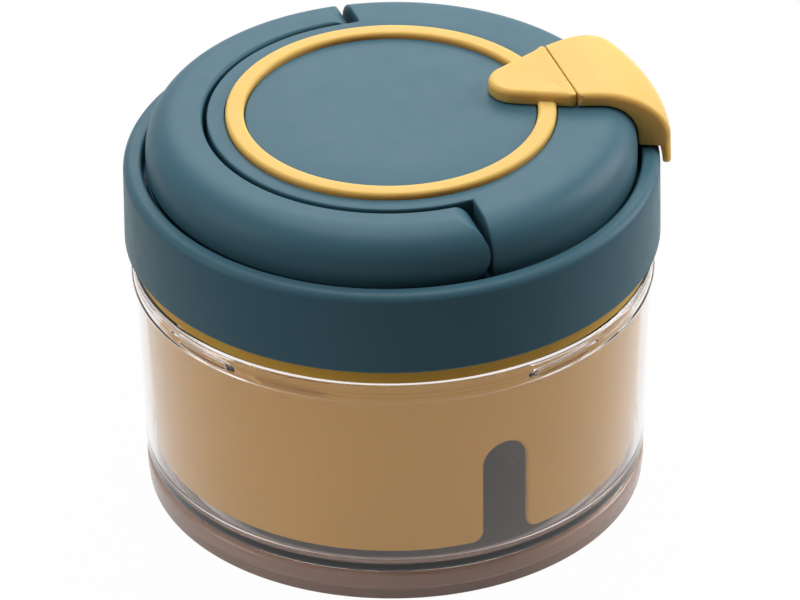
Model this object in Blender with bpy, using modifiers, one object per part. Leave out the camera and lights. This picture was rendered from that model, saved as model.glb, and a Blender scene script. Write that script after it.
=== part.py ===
"""Pull cord food chopper: clear bowl, inner sleeve, turned lid with a fold flat carry handle,
pull tab on its dock, cord spool with recoil spring and one way clutch, and three curved blades.

Metres, +Z up. The lid's axis is the Z axis, the bowl stands on Z = 0 and the pull tab points to +X.
"""
import math

import bmesh
import bpy
from mathutils import Matrix, Vector

# Clearances
GAP = 0.0003
RUNNING_GAP = 0.0004
CUT = 0.002
WELD = 0.000002

# Round piece resolution
LARGE_STEPS = 44
MEDIUM_STEPS = 32
SMALL_STEPS = 20
TAB_STEPS = 96

# Bowl
BOWL_TOP_RADIUS = 0.0608
BOWL_BAND_STEP = 0.0006
BOWL_TAPER = 0.0012
BOWL_RIM_Z = 0.0610
BOWL_BAND_Z = 0.0554
BOWL_BASE_Z = 0.0072
BOWL_BASE_FILLET = 0.0014
BOWL_WALL = 0.0022
BOWL_FLOOR_Z = 0.0082
BOWL_FLOOR_THICKNESS = 0.0030
BOWL_INNER_FILLET = 0.0040
BOWL_SKIRT_INSET = 0.0031
BOWL_SKIRT_WALL = 0.0022
BOWL_SKIRT_Z = 0.0025
PIN_BOSS_RADIUS = 0.0065
PIN_BOSS_HEIGHT = 0.0048
PIN_BOSS_EDGE = 0.0006

# Bayonet between the bowl and the inner sleeve
BAYONET_COUNT = 4
BAYONET_FIRST_DEG = -66.0
BAYONET_TURN_DEG = 24.0
TAB_SPAN_DEG = 18.0
LUG_SPAN_DEG = 16.0
TAB_HEIGHT = 0.0018
LUG_HEIGHT = 0.0022

# Foot ring under the bowl
FOOT_WIDTH = 0.0076
FOOT_EDGE = 0.0009
FOOT_TOE = 0.0004
FOOT_GROOVE_FLOOR = 0.0022

# Pivot pin and blades
PIN_RADIUS = 0.0025
PIN_TOP_Z = 0.0330
PIN_TIP = 0.0012
BLADE_CLEARANCE = 0.0065
BLADE_THICKNESS = 0.0010
BLADE_BEVEL = 0.0024
BLADE_CHORD = 0.0115
BLADE_ARC_RADIUS = 0.0420
BLADE_HEIGHTS = (0.0175, 0.0275, 0.0375)
BLADE_TANG_RADIUS = 0.0044
BLADE_TANG_WIDTH = 0.0080
HUB_FOOT_RADIUS = 0.0110
HUB_FOOT_HEIGHT = 0.0050
HUB_FOOT_FILLET = 0.0036
HUB_EDGE = 0.0006
HUB_RADIUS = 0.0082
HUB_NECK_RADIUS = 0.0070
HUB_SHOULDER_Z = 0.0450
HUB_TOP_Z = 0.0560
HUB_HEX_RADIUS = 0.0052

# Inner sleeve
SLEEVE_CLEARANCE = 0.0009
SLEEVE_WALL = 0.0018
SLEEVE_BOTTOM_Z = 0.0121
FLANGE_THICKNESS = 0.0037
FLANGE_INSET = 0.0003
NOTCH_WIDTH = 0.0112
NOTCH_TOP_Z = 0.0385
NOTCH_FLARE = 0.0030
NOTCH_DEG = -81.0

# Rim seal
SEAL_WIDTH = 0.0016
SEAL_THICKNESS = 0.0010

# Collar
COLLAR_STEP = 0.0016
COLLAR_TAPER = 0.0003
COLLAR_WALL = 0.0033
COLLAR_RIM = 0.0043
COLLAR_HEIGHT = 0.0204
COLLAR_FILLET = 0.0019
COLLAR_EDGE = 0.0007
LEDGE_DROP = 0.0060
LEDGE_THICKNESS = 0.0027
LEDGE_REACH = 0.0044

# Top cover
COVER_RISE = 0.0110
COVER_WALL = 0.0024
COVER_SEAM = 0.0010
SHOULDER_ROUND = 0.0094
SHOULDER_DROP = 0.0095
SHOULDER_EXPONENT = 2.35
CHANNEL_SEAM = 0.0010
CHANNEL_DEPTH = 0.0134
CHANNEL_END_SEAM = 0.0006

# Accent ring and tab dock
LAND_WIDTH = 0.0044
RING_WIDTH = 0.0043
RING_HEIGHT = 0.0014
RING_GROOVE_DEPTH = 0.0011
RING_EDGE = 0.0008
DOCK_TIP_RADIUS = 0.0066
DOCK_TIP_INSET = 0.0034
DOCK_HALF_WIDTH = 0.0124
DOCK_HEIGHT = 0.0035
DOCK_EDGE = 0.0009
DOCK_PEG_RADIUS = 0.0014
DOCK_PEG_Y = 0.0034
SPLIT_OFFSET = 0.0032

# Pull tab
TAB_LIP_WALL = 0.0020
TAB_DROP = 0.0120
TAB_HOOK = 0.0036
TAB_HALF_DEG = 16.8
TAB_FLARE = 0.10
TAB_FLARE_RISE = 0.0053
TAB_EDGE = 0.0008
TAB_CORD_HOLE = 0.0014
TAB_CORD_DEPTH = 0.0040
PULL_ELEVATION_DEG = 30.0

# Carry handle
HANDLE_AXIS_X = -0.0010
HANDLE_END_RADIUS = 0.0062
HANDLE_END_STEPS = 13
HANDLE_WIDTH = 0.0135
HANDLE_EDGE = 0.0009
HANDLE_SHELL = 0.0026
HANDLE_SOLID_END = 0.0100
HANDLE_PIN_RADIUS = 0.0015
HANDLE_PIN_INSET = 0.0078
HANDLE_PIN_REACH = 0.0088
PIN_BLOCK_RADIUS = 0.0034

# Base plate, screws and bushes
PLATE_THICKNESS = 0.0020
PLATE_SPIGOT_DEPTH = 0.0040
PLATE_SPIGOT_WALL = 0.0018
PLATE_RING_WALL = 0.0022
SCREW_COUNT = 4
SCREW_INSET = 0.0070
SCREW_RADIUS = 0.0012
SCREW_HEAD_RADIUS = 0.0026
SCREW_HEAD_HEIGHT = 0.0010
SCREW_DEPTH = 0.0037
SCREW_SLOT_WIDTH = 0.0008
POST_RADIUS = 0.0036

# Drive train
SHAFT_RADIUS = 0.0072
SOCKET_BOTTOM_Z = 0.0463
CLUTCH_DISC_RADIUS = 0.0130
CLUTCH_DISC_THICKNESS = 0.0018
CLUTCH_TEETH = 8
CLUTCH_TOOTH_HEIGHT = 0.0013
CLUTCH_TOOTH_INNER = 0.0074
CLUTCH_TOOTH_OUTER = 0.0120
CLUTCH_TOOTH_WIDTH = 0.0042
BUSH_RADIUS = 0.0098
BUSH_FLANGE_RADIUS = 0.0118
BUSH_FLANGE_THICKNESS = 0.0008
SPINDLE_RADIUS = 0.0030
SPINDLE_EDGE = 0.0004
SPINDLE_DEPTH = 0.0057
SPINDLE_BOSS_RADIUS = 0.0058
SPOOL_FLANGE_RADIUS = 0.0240
SPOOL_CORE_RADIUS = 0.0190
SPOOL_FLANGE = 0.0014
SPOOL_GROOVE = 0.0042
KNOT_HOLE_RADIUS = 0.0012
SPRING_CUP_DEPTH = 0.0066
SPRING_CUP_WALL = 0.0016
SPRING_TURNS = 6.5
SPRING_THICKNESS = 0.0005
SPRING_START_RADIUS = 0.0046
SPRING_CAP_THICKNESS = 0.0012

# Cord eyelet
EYELET_RADIUS = 0.0025
EYELET_BORE = 0.0012
EYELET_LENGTH = 0.0045
EYELET_INSET = 0.0021

# Derived radii, from the bowl out to the lid and in again to its middle
BOWL_BAND_RADIUS = BOWL_TOP_RADIUS + BOWL_BAND_STEP
BOWL_BASE_RADIUS = BOWL_TOP_RADIUS - BOWL_TAPER
BOWL_RIM_INNER = BOWL_TOP_RADIUS - BOWL_WALL
BOWL_SKIRT_RADIUS = BOWL_BASE_RADIUS - BOWL_SKIRT_INSET
FOOT_RADIUS = BOWL_BASE_RADIUS
FOOT_INNER_RADIUS = FOOT_RADIUS - FOOT_WIDTH
SLEEVE_RADIUS = BOWL_BASE_RADIUS - BOWL_WALL - SLEEVE_CLEARANCE
SLEEVE_INNER_RADIUS = SLEEVE_RADIUS - SLEEVE_WALL
FLANGE_RADIUS = BOWL_BAND_RADIUS - FLANGE_INSET
SEAL_INNER_RADIUS = BOWL_RIM_INNER
BLADE_REACH = SLEEVE_INNER_RADIUS - BLADE_CLEARANCE
COLLAR_RADIUS = BOWL_BAND_RADIUS + COLLAR_STEP
COLLAR_TOP_RADIUS = COLLAR_RADIUS - COLLAR_TAPER
COLLAR_SKIRT_RADIUS = COLLAR_RADIUS - COLLAR_WALL
COLLAR_INNER_RADIUS = COLLAR_TOP_RADIUS - COLLAR_RIM
PLATE_RADIUS = COLLAR_SKIRT_RADIUS - GAP
SHOULDER_RADIUS = COLLAR_INNER_RADIUS - COVER_SEAM
SHOULDER_FLAT_RADIUS = SHOULDER_RADIUS - SHOULDER_ROUND
LEDGE_INNER_RADIUS = SHOULDER_RADIUS - LEDGE_REACH
SCREW_CIRCLE = LEDGE_INNER_RADIUS - SCREW_INSET
HANDLE_INNER_RADIUS = SHOULDER_RADIUS - HANDLE_WIDTH
HANDLE_PIN_OUTER = HANDLE_INNER_RADIUS + HANDLE_PIN_REACH
CHANNEL_WALL_RADIUS = HANDLE_INNER_RADIUS - CHANNEL_SEAM
CHANNEL_END_X = HANDLE_AXIS_X + HANDLE_END_RADIUS + CHANNEL_END_SEAM
HANDLE_PIN_INNER = CHANNEL_WALL_RADIUS - HANDLE_PIN_INSET
DISC_HOLLOW_RADIUS = CHANNEL_WALL_RADIUS - COVER_WALL
RING_OUTER_RADIUS = CHANNEL_WALL_RADIUS - LAND_WIDTH
RING_INNER_RADIUS = RING_OUTER_RADIUS - RING_WIDTH
DOCK_TIP_X = RING_INNER_RADIUS - DOCK_TIP_INSET
SPLIT_X = RING_OUTER_RADIUS + SPLIT_OFFSET
TAB_FLAT_RADIUS = SHOULDER_FLAT_RADIUS
TAB_OUTER_RADIUS = COLLAR_RADIUS + GAP + TAB_LIP_WALL
EYELET_X = SHOULDER_RADIUS - EYELET_INSET

# Derived heights, from the foot up to the tab
FOOT_HEIGHT = BOWL_BASE_Z - GAP
FLANGE_BOTTOM_Z = BOWL_RIM_Z + GAP
FLANGE_TOP_Z = FLANGE_BOTTOM_Z + FLANGE_THICKNESS
BOSS_TOP_Z = BOWL_FLOOR_Z + PIN_BOSS_HEIGHT
PLATE_Z = FLANGE_TOP_Z + GAP
COLLAR_BOTTOM_Z = PLATE_Z
COLLAR_TOP_Z = COLLAR_BOTTOM_Z + COLLAR_HEIGHT
LEDGE_TOP_Z = COLLAR_TOP_Z - LEDGE_DROP
LEDGE_BOTTOM_Z = LEDGE_TOP_Z - LEDGE_THICKNESS
SCREW_TOP_Z = LEDGE_TOP_Z - SCREW_DEPTH
COVER_BOTTOM_Z = LEDGE_TOP_Z + GAP
COVER_TOP_Z = COLLAR_TOP_Z + COVER_RISE
COVER_CEILING_Z = COVER_TOP_Z - COVER_WALL
CHANNEL_FLOOR_Z = COVER_TOP_Z - CHANNEL_DEPTH
SPINDLE_TOP_Z = COVER_TOP_Z - SPINDLE_DEPTH
TAB_LIP_Z = COLLAR_TOP_Z - TAB_HOOK
TAB_FLARE_Z = COLLAR_TOP_Z + TAB_FLARE_RISE
RING_TOP_Z = COVER_TOP_Z + RING_HEIGHT
DOCK_TOP_Z = COVER_TOP_Z + DOCK_HEIGHT
TAB_SECTION_Z = COVER_TOP_Z + GAP
HANDLE_AXIS_Z = COVER_TOP_Z - HANDLE_END_RADIUS
HANDLE_BOTTOM_Z = HANDLE_AXIS_Z - HANDLE_END_RADIUS
BUSH_TOP_Z = PLATE_Z + PLATE_THICKNESS + BUSH_FLANGE_THICKNESS + GAP
DISC_Z = BUSH_TOP_Z + GAP
TEETH_Z = DISC_Z + CLUTCH_DISC_THICKNESS
SPOOL_Z = TEETH_Z + CLUTCH_TOOTH_HEIGHT + GAP
SPOOL_GROOVE_Z = SPOOL_Z + SPOOL_FLANGE
SPOOL_UPPER_Z = SPOOL_GROOVE_Z + SPOOL_GROOVE
CUP_FLOOR_Z = SPOOL_UPPER_Z + SPOOL_FLANGE
CUP_TOP_Z = CUP_FLOOR_Z + SPRING_CUP_DEPTH

parts = None
cutters = None


def clear_scene():
    """Removes every object of the open scene."""
    for obj in list(bpy.data.objects):
        bpy.data.objects.remove(obj, do_unlink=True)


def make_material(name, colour, roughness, metallic=0.0, transmission=0.0):
    """A Principled material with the piece's colour and finish."""
    mat = bpy.data.materials.new(name)
    mat.use_nodes = True
    shader = mat.node_tree.nodes["Principled BSDF"]
    shader.inputs["Base Color"].default_value = (*colour, 1.0)
    shader.inputs["Roughness"].default_value = roughness
    shader.inputs["Metallic"].default_value = metallic
    shader.inputs["Transmission Weight"].default_value = transmission
    mat.diffuse_color = (*colour, 1.0)
    return mat


def add_mesh(name, bm):
    """A new object in the cutters' collection from a bmesh."""
    mesh = bpy.data.meshes.new(name)
    bm.to_mesh(mesh)
    bm.free()
    obj = bpy.data.objects.new(name, mesh)
    cutters.objects.link(obj)
    obj.hide_render = True
    obj.display_type = "WIRE"
    return obj


def arc(centre_r, centre_z, radius_r, radius_z, start_deg, end_deg, count, exponent=2.0):
    """Profile points on an ellipse or superellipse; 0 degrees points outwards and 90 up."""
    points = []
    for i in range(count + 1):
        angle = math.radians(start_deg + (end_deg - start_deg) * i / count)
        c, s = math.cos(angle), math.sin(angle)
        power = 2.0 / exponent
        r = centre_r + radius_r * math.copysign(abs(c) ** power, c)
        z = centre_z + radius_z * math.copysign(abs(s) ** power, s)
        points.append((r, z))
    return points


def turned(name, profile, steps=LARGE_STEPS):
    """A profile of (radius, height) points turned about Z with a Screw modifier.

    A profile that starts and ends on the axis stays open; any other is closed into a ring.
    It runs up its inner side and down its outer side.
    """
    on_axis = profile[0][0] == 0.0 and profile[-1][0] == 0.0
    bm = bmesh.new()
    verts = [bm.verts.new((r, 0.0, z)) for r, z in profile]
    for a, b in zip(verts, verts[1:]):
        bm.edges.new((a, b))
    if not on_axis:
        bm.edges.new((verts[-1], verts[0]))
    obj = add_mesh(name, bm)
    screw = obj.modifiers.new("Turn", "SCREW")
    screw.axis = "Z"
    screw.steps = steps
    screw.render_steps = steps
    screw.use_merge_vertices = True
    screw.merge_threshold = 0.00001
    screw.use_smooth_shade = True
    return obj


def prism(name, outline, low, high):
    """A flat outline of (x, y) points as a filled 2D curve, raised between two heights."""
    curve = bpy.data.curves.new(name, "CURVE")
    curve.dimensions = "2D"
    curve.fill_mode = "BOTH"
    curve.extrude = (high - low) / 2
    spline = curve.splines.new("POLY")
    spline.points.add(len(outline) - 1)
    for point, (x, y) in zip(spline.points, outline):
        point.co = (x, y, 0.0, 1.0)
    spline.use_cyclic_u = True
    shape = bpy.data.objects.new(name + "_curve", curve)
    cutters.objects.link(shape)
    bpy.context.view_layer.update()
    mesh = bpy.data.meshes.new_from_object(shape.evaluated_get(bpy.context.evaluated_depsgraph_get()))
    bpy.data.objects.remove(shape, do_unlink=True)
    bm = bmesh.new()
    bm.from_mesh(mesh)
    bpy.data.meshes.remove(mesh)
    bmesh.ops.remove_doubles(bm, verts=bm.verts, dist=0.00001)
    bmesh.ops.translate(bm, vec=(0.0, 0.0, (high + low) / 2), verts=bm.verts)
    return add_mesh(name, bm)


def loft(name, lower, upper, low, high):
    """A closed body between two outlines with the same number of points."""
    bm = bmesh.new()
    bottom = [bm.verts.new((x, y, low)) for x, y in lower]
    top = [bm.verts.new((x, y, high)) for x, y in upper]
    bm.faces.new(reversed(bottom))
    bm.faces.new(top)
    for i in range(len(bottom)):
        j = (i + 1) % len(bottom)
        bm.faces.new((bottom[i], bottom[j], top[j], top[i]))
    bmesh.ops.recalc_face_normals(bm, faces=bm.faces)
    bmesh.ops.triangulate(bm, faces=bm.faces)
    return add_mesh(name, bm)


def box(name, low, high):
    """A box between two corners."""
    bm = bmesh.new()
    size = Vector(high) - Vector(low)
    middle = (Vector(high) + Vector(low)) / 2
    bmesh.ops.create_cube(bm, size=1.0, matrix=Matrix.Translation(middle) @ Matrix.Diagonal((*size, 1.0)))
    return add_mesh(name, bm)


def rod(name, start, end, radius, sides=SMALL_STEPS, end_radius=None):
    """A cylinder or cone between two points."""
    start, end = Vector(start), Vector(end)
    along = end - start
    turn = along.to_track_quat("Z", "Y").to_matrix().to_4x4()
    place = Matrix.Translation((start + end) / 2) @ turn
    bm = bmesh.new()
    bmesh.ops.create_cone(bm, cap_ends=True, segments=sides, radius1=radius,
                          radius2=radius if end_radius is None else end_radius,
                          depth=along.length, matrix=place)
    return add_mesh(name, bm)


def boolean(obj, other, operation="DIFFERENCE"):
    """Cuts, joins or intersects obj with another object."""
    step = obj.modifiers.new(operation.title(), "BOOLEAN")
    step.object = other
    step.operation = operation
    step.solver = "EXACT"
    return obj


def round_edges(obj, width, angle_deg=40.0, segments=2):
    """Rounds the edges that are sharper than an angle."""
    step = obj.modifiers.new("Edges", "BEVEL")
    step.width = width
    step.segments = segments
    step.limit_method = "ANGLE"
    step.angle_limit = math.radians(angle_deg)
    return obj


def keep(obj, mat, origin=(0.0, 0.0, 0.0)):
    """Bakes the modifiers, moves the origin to the joint's axis and files the object as a part."""
    bpy.context.view_layer.update()
    graph = bpy.context.evaluated_depsgraph_get()
    mesh = bpy.data.meshes.new_from_object(obj.evaluated_get(graph))
    obj.modifiers.clear()
    obj.data = mesh
    mesh.name = obj.name
    bm = bmesh.new()
    bm.from_mesh(mesh)
    bmesh.ops.remove_doubles(bm, verts=bm.verts, dist=WELD)
    bmesh.ops.dissolve_degenerate(bm, edges=bm.edges, dist=WELD)
    bm.to_mesh(mesh)
    bm.free()
    mesh.transform(Matrix.Translation(-Vector(origin)))
    obj.location = origin
    mesh.shade_smooth()
    mesh.set_sharp_from_angle(angle=math.radians(35.0))
    mesh.materials.clear()
    mesh.materials.append(mat)
    cutters.objects.unlink(obj)
    parts.objects.link(obj)
    obj.hide_render = False
    obj.display_type = "TEXTURED"
    return obj


def polar(radius, degrees):
    """A point on a circle about the lid's axis."""
    angle = math.radians(degrees)
    return radius * math.cos(angle), radius * math.sin(angle)


def arc_outline(inner, outer, middle_deg, span_deg, count=6):
    """The outline of a block that follows the bowl's wall between two radii."""
    steps = [middle_deg + span_deg * (i / count - 0.5) for i in range(count + 1)]
    return [polar(outer, a) for a in steps] + [polar(inner, a) for a in reversed(steps)]


def bowl_inner_radius(z):
    """The inside of the tapered bowl wall at a height."""
    share = (z - BOWL_BASE_Z) / (BOWL_BAND_Z - BOWL_BASE_Z)
    return BOWL_BASE_RADIUS + (BOWL_TOP_RADIUS - BOWL_BASE_RADIUS) * min(share, 1.0) - BOWL_WALL


def make_bowl(mat):
    """Clear bowl with its thick rim band, bayonet tabs, foot skirt and pin boss."""
    fillet = BOWL_INNER_FILLET
    wall_foot = bowl_inner_radius(BOWL_FLOOR_Z + fillet)
    boss_edge, edge, base = PIN_BOSS_EDGE, BOWL_BAND_STEP, BOWL_BASE_FILLET
    profile = [(0.0, BOSS_TOP_Z), (PIN_BOSS_RADIUS - boss_edge, BOSS_TOP_Z),
               (PIN_BOSS_RADIUS, BOSS_TOP_Z - boss_edge), (PIN_BOSS_RADIUS + boss_edge, BOWL_FLOOR_Z)]
    profile += arc(wall_foot - fillet, BOWL_FLOOR_Z + fillet, fillet, fillet, -90, 0, 3)
    profile += [(BOWL_RIM_INNER, BOWL_BAND_Z), (BOWL_RIM_INNER, BOWL_RIM_Z - edge / 2),
                (BOWL_RIM_INNER + edge / 2, BOWL_RIM_Z)]
    profile += arc(BOWL_BAND_RADIUS - edge, BOWL_RIM_Z - edge, edge, edge, 90, 0, 2)
    profile += [(BOWL_BAND_RADIUS, BOWL_BAND_Z), (BOWL_TOP_RADIUS, BOWL_BAND_Z - edge)]
    profile += arc(BOWL_BASE_RADIUS - base, BOWL_BASE_Z + base, base, base, 0, -90, 2)
    profile += [(BOWL_SKIRT_RADIUS, BOWL_BASE_Z), (BOWL_SKIRT_RADIUS, BOWL_SKIRT_Z),
                (BOWL_SKIRT_RADIUS - BOWL_SKIRT_WALL, BOWL_SKIRT_Z),
                (BOWL_SKIRT_RADIUS - BOWL_SKIRT_WALL, BOWL_FLOOR_Z - BOWL_FLOOR_THICKNESS),
                (0.0, BOWL_FLOOR_Z - BOWL_FLOOR_THICKNESS)]
    obj = turned("bowl", profile)
    tab_inner = SLEEVE_RADIUS + RUNNING_GAP
    for i in range(BAYONET_COUNT):
        middle = BAYONET_FIRST_DEG + 360.0 / BAYONET_COUNT * i
        outline = arc_outline(tab_inner, BOWL_RIM_INNER + BOWL_WALL / 2, middle, TAB_SPAN_DEG)
        tab = prism(f"bayonet_tab_{i + 1}", outline, BOWL_BAND_Z, BOWL_BAND_Z + TAB_HEIGHT)
        boolean(obj, tab, "UNION")
    hole = rod("pin_hole", (0, 0, BOWL_FLOOR_Z - BOWL_FLOOR_THICKNESS / 2), (0, 0, BOSS_TOP_Z + CUT),
               PIN_RADIUS + GAP)
    boolean(obj, hole)
    return keep(obj, mat)


def make_foot_ring(mat):
    """Soft ring that grips the bowl's skirt and stands on the worktop."""
    groove_outer = BOWL_SKIRT_RADIUS + GAP
    groove_inner = BOWL_SKIRT_RADIUS - BOWL_SKIRT_WALL - GAP
    inner_top = BOWL_FLOOR_Z - BOWL_FLOOR_THICKNESS - GAP
    profile = [(FOOT_INNER_RADIUS, FOOT_TOE), (FOOT_INNER_RADIUS, inner_top), (groove_inner, inner_top),
               (groove_inner, FOOT_GROOVE_FLOOR), (groove_outer, FOOT_GROOVE_FLOOR), (groove_outer, FOOT_HEIGHT)]
    profile += arc(FOOT_RADIUS - FOOT_EDGE, FOOT_HEIGHT - FOOT_EDGE, FOOT_EDGE, FOOT_EDGE, 90, 0, 2)
    profile += [(FOOT_RADIUS, FOOT_TOE), (FOOT_RADIUS - FOOT_TOE, 0.0), (FOOT_INNER_RADIUS + FOOT_TOE, 0.0)]
    return keep(turned("foot_ring", profile), mat)


def make_pivot_pin(mat):
    """Steel pin moulded into the bowl's floor."""
    tip = PIN_TIP
    bottom = BOWL_FLOOR_Z - BOWL_FLOOR_THICKNESS / 2 + GAP
    profile = [(0.0, PIN_TOP_Z)] + arc(PIN_RADIUS - tip, PIN_TOP_Z - tip, tip, tip, 90, 0, 3)
    profile += [(PIN_RADIUS, bottom), (0.0, bottom)]
    return keep(turned("pivot_pin", profile, SMALL_STEPS), mat)


def make_seal_ring(mat):
    """Silicone ring between the bowl's rim and the sleeve's flange."""
    low = BOWL_RIM_Z + GAP
    profile = [(SEAL_INNER_RADIUS, low), (SEAL_INNER_RADIUS, low + SEAL_THICKNESS),
               (SEAL_INNER_RADIUS + SEAL_WIDTH, low + SEAL_THICKNESS), (SEAL_INNER_RADIUS + SEAL_WIDTH, low)]
    return keep(turned("seal_ring", profile), mat)


def make_inner_sleeve(mat):
    """Coloured sleeve that hangs in the bowl, with its flange, bayonet lugs and arched notch."""
    groove_z = BOWL_RIM_Z + SEAL_THICKNESS + 2 * GAP
    groove_in, groove_out = SEAL_INNER_RADIUS - GAP, SEAL_INNER_RADIUS + SEAL_WIDTH + GAP
    inner = SLEEVE_INNER_RADIUS
    profile = [(inner, SLEEVE_BOTTOM_Z), (inner, FLANGE_TOP_Z)]
    profile += [(FLANGE_RADIUS - GAP, FLANGE_TOP_Z), (FLANGE_RADIUS, FLANGE_TOP_Z - GAP)]
    profile += [(FLANGE_RADIUS, FLANGE_BOTTOM_Z + GAP), (FLANGE_RADIUS - GAP, FLANGE_BOTTOM_Z)]
    profile += [(groove_out, FLANGE_BOTTOM_Z), (groove_out, groove_z), (groove_in, groove_z)]
    profile += [(groove_in, FLANGE_BOTTOM_Z), (SLEEVE_RADIUS, FLANGE_BOTTOM_Z), (SLEEVE_RADIUS, SLEEVE_BOTTOM_Z)]
    obj = turned("inner_sleeve", profile)
    lug_outer = bowl_inner_radius(BOWL_BAND_Z - LUG_HEIGHT - GAP) - GAP
    lug_top = BOWL_BAND_Z - GAP
    for i in range(BAYONET_COUNT):
        middle = BAYONET_FIRST_DEG + BAYONET_TURN_DEG + 360.0 / BAYONET_COUNT * i
        outline = arc_outline(inner + SLEEVE_WALL / 2, lug_outer, middle, LUG_SPAN_DEG)
        boolean(obj, prism(f"bayonet_lug_{i + 1}", outline, lug_top - LUG_HEIGHT, lug_top), "UNION")
    half = NOTCH_WIDTH / 2
    low = SLEEVE_BOTTOM_Z
    outline = [(half + NOTCH_FLARE, low - CUT), (half + NOTCH_FLARE, low)]
    outline += arc(half + NOTCH_FLARE, low + NOTCH_FLARE, NOTCH_FLARE, NOTCH_FLARE, -90, -180, 3)[1:]
    outline += arc(0.0, NOTCH_TOP_Z - half, half, half, 0, 180, 10)
    outline += arc(-half - NOTCH_FLARE, low + NOTCH_FLARE, NOTCH_FLARE, NOTCH_FLARE, 0, -90, 3)
    outline += [(-half - NOTCH_FLARE, low - CUT)]
    notch = prism("sleeve_notch", outline, inner - 2 * CUT, SLEEVE_RADIUS + CUT)
    stand = Matrix(((0, 0, 1, 0), (1, 0, 0, 0), (0, 1, 0, 0), (0, 0, 0, 1)))
    notch.data.transform(Matrix.Rotation(math.radians(NOTCH_DEG), 4, "Z") @ stand)
    boolean(obj, notch)
    return keep(obj, mat)


def make_collar(mat):
    """Outer wall of the lid with the ledge that carries the cover."""
    skirt_top = LEDGE_BOTTOM_Z
    profile = [(COLLAR_SKIRT_RADIUS, COLLAR_BOTTOM_Z), (COLLAR_SKIRT_RADIUS, skirt_top),
               (LEDGE_INNER_RADIUS, skirt_top), (LEDGE_INNER_RADIUS, LEDGE_TOP_Z),
               (COLLAR_INNER_RADIUS, LEDGE_TOP_Z)]
    edge = COLLAR_EDGE
    profile += arc(COLLAR_INNER_RADIUS + edge, COLLAR_TOP_Z - edge, edge, edge, 180, 90, 2)
    profile += arc(COLLAR_TOP_RADIUS - COLLAR_FILLET, COLLAR_TOP_Z - COLLAR_FILLET,
                   COLLAR_FILLET, COLLAR_FILLET, 90, 0, 4)
    profile += [(COLLAR_RADIUS, COLLAR_BOTTOM_Z + edge), (COLLAR_RADIUS - edge, COLLAR_BOTTOM_Z)]
    return keep(turned("collar", profile), mat)


def shoulder_curve(offset, count, top_first=True):
    """The rounded shoulder of the lid, moved in or out by an offset, from its flat top to its side."""
    points = arc(SHOULDER_FLAT_RADIUS, COVER_TOP_Z - SHOULDER_DROP,
                 SHOULDER_RADIUS - SHOULDER_FLAT_RADIUS + offset, SHOULDER_DROP + offset,
                 90, 0, count, SHOULDER_EXPONENT)
    return points if top_first else list(reversed(points))


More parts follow.
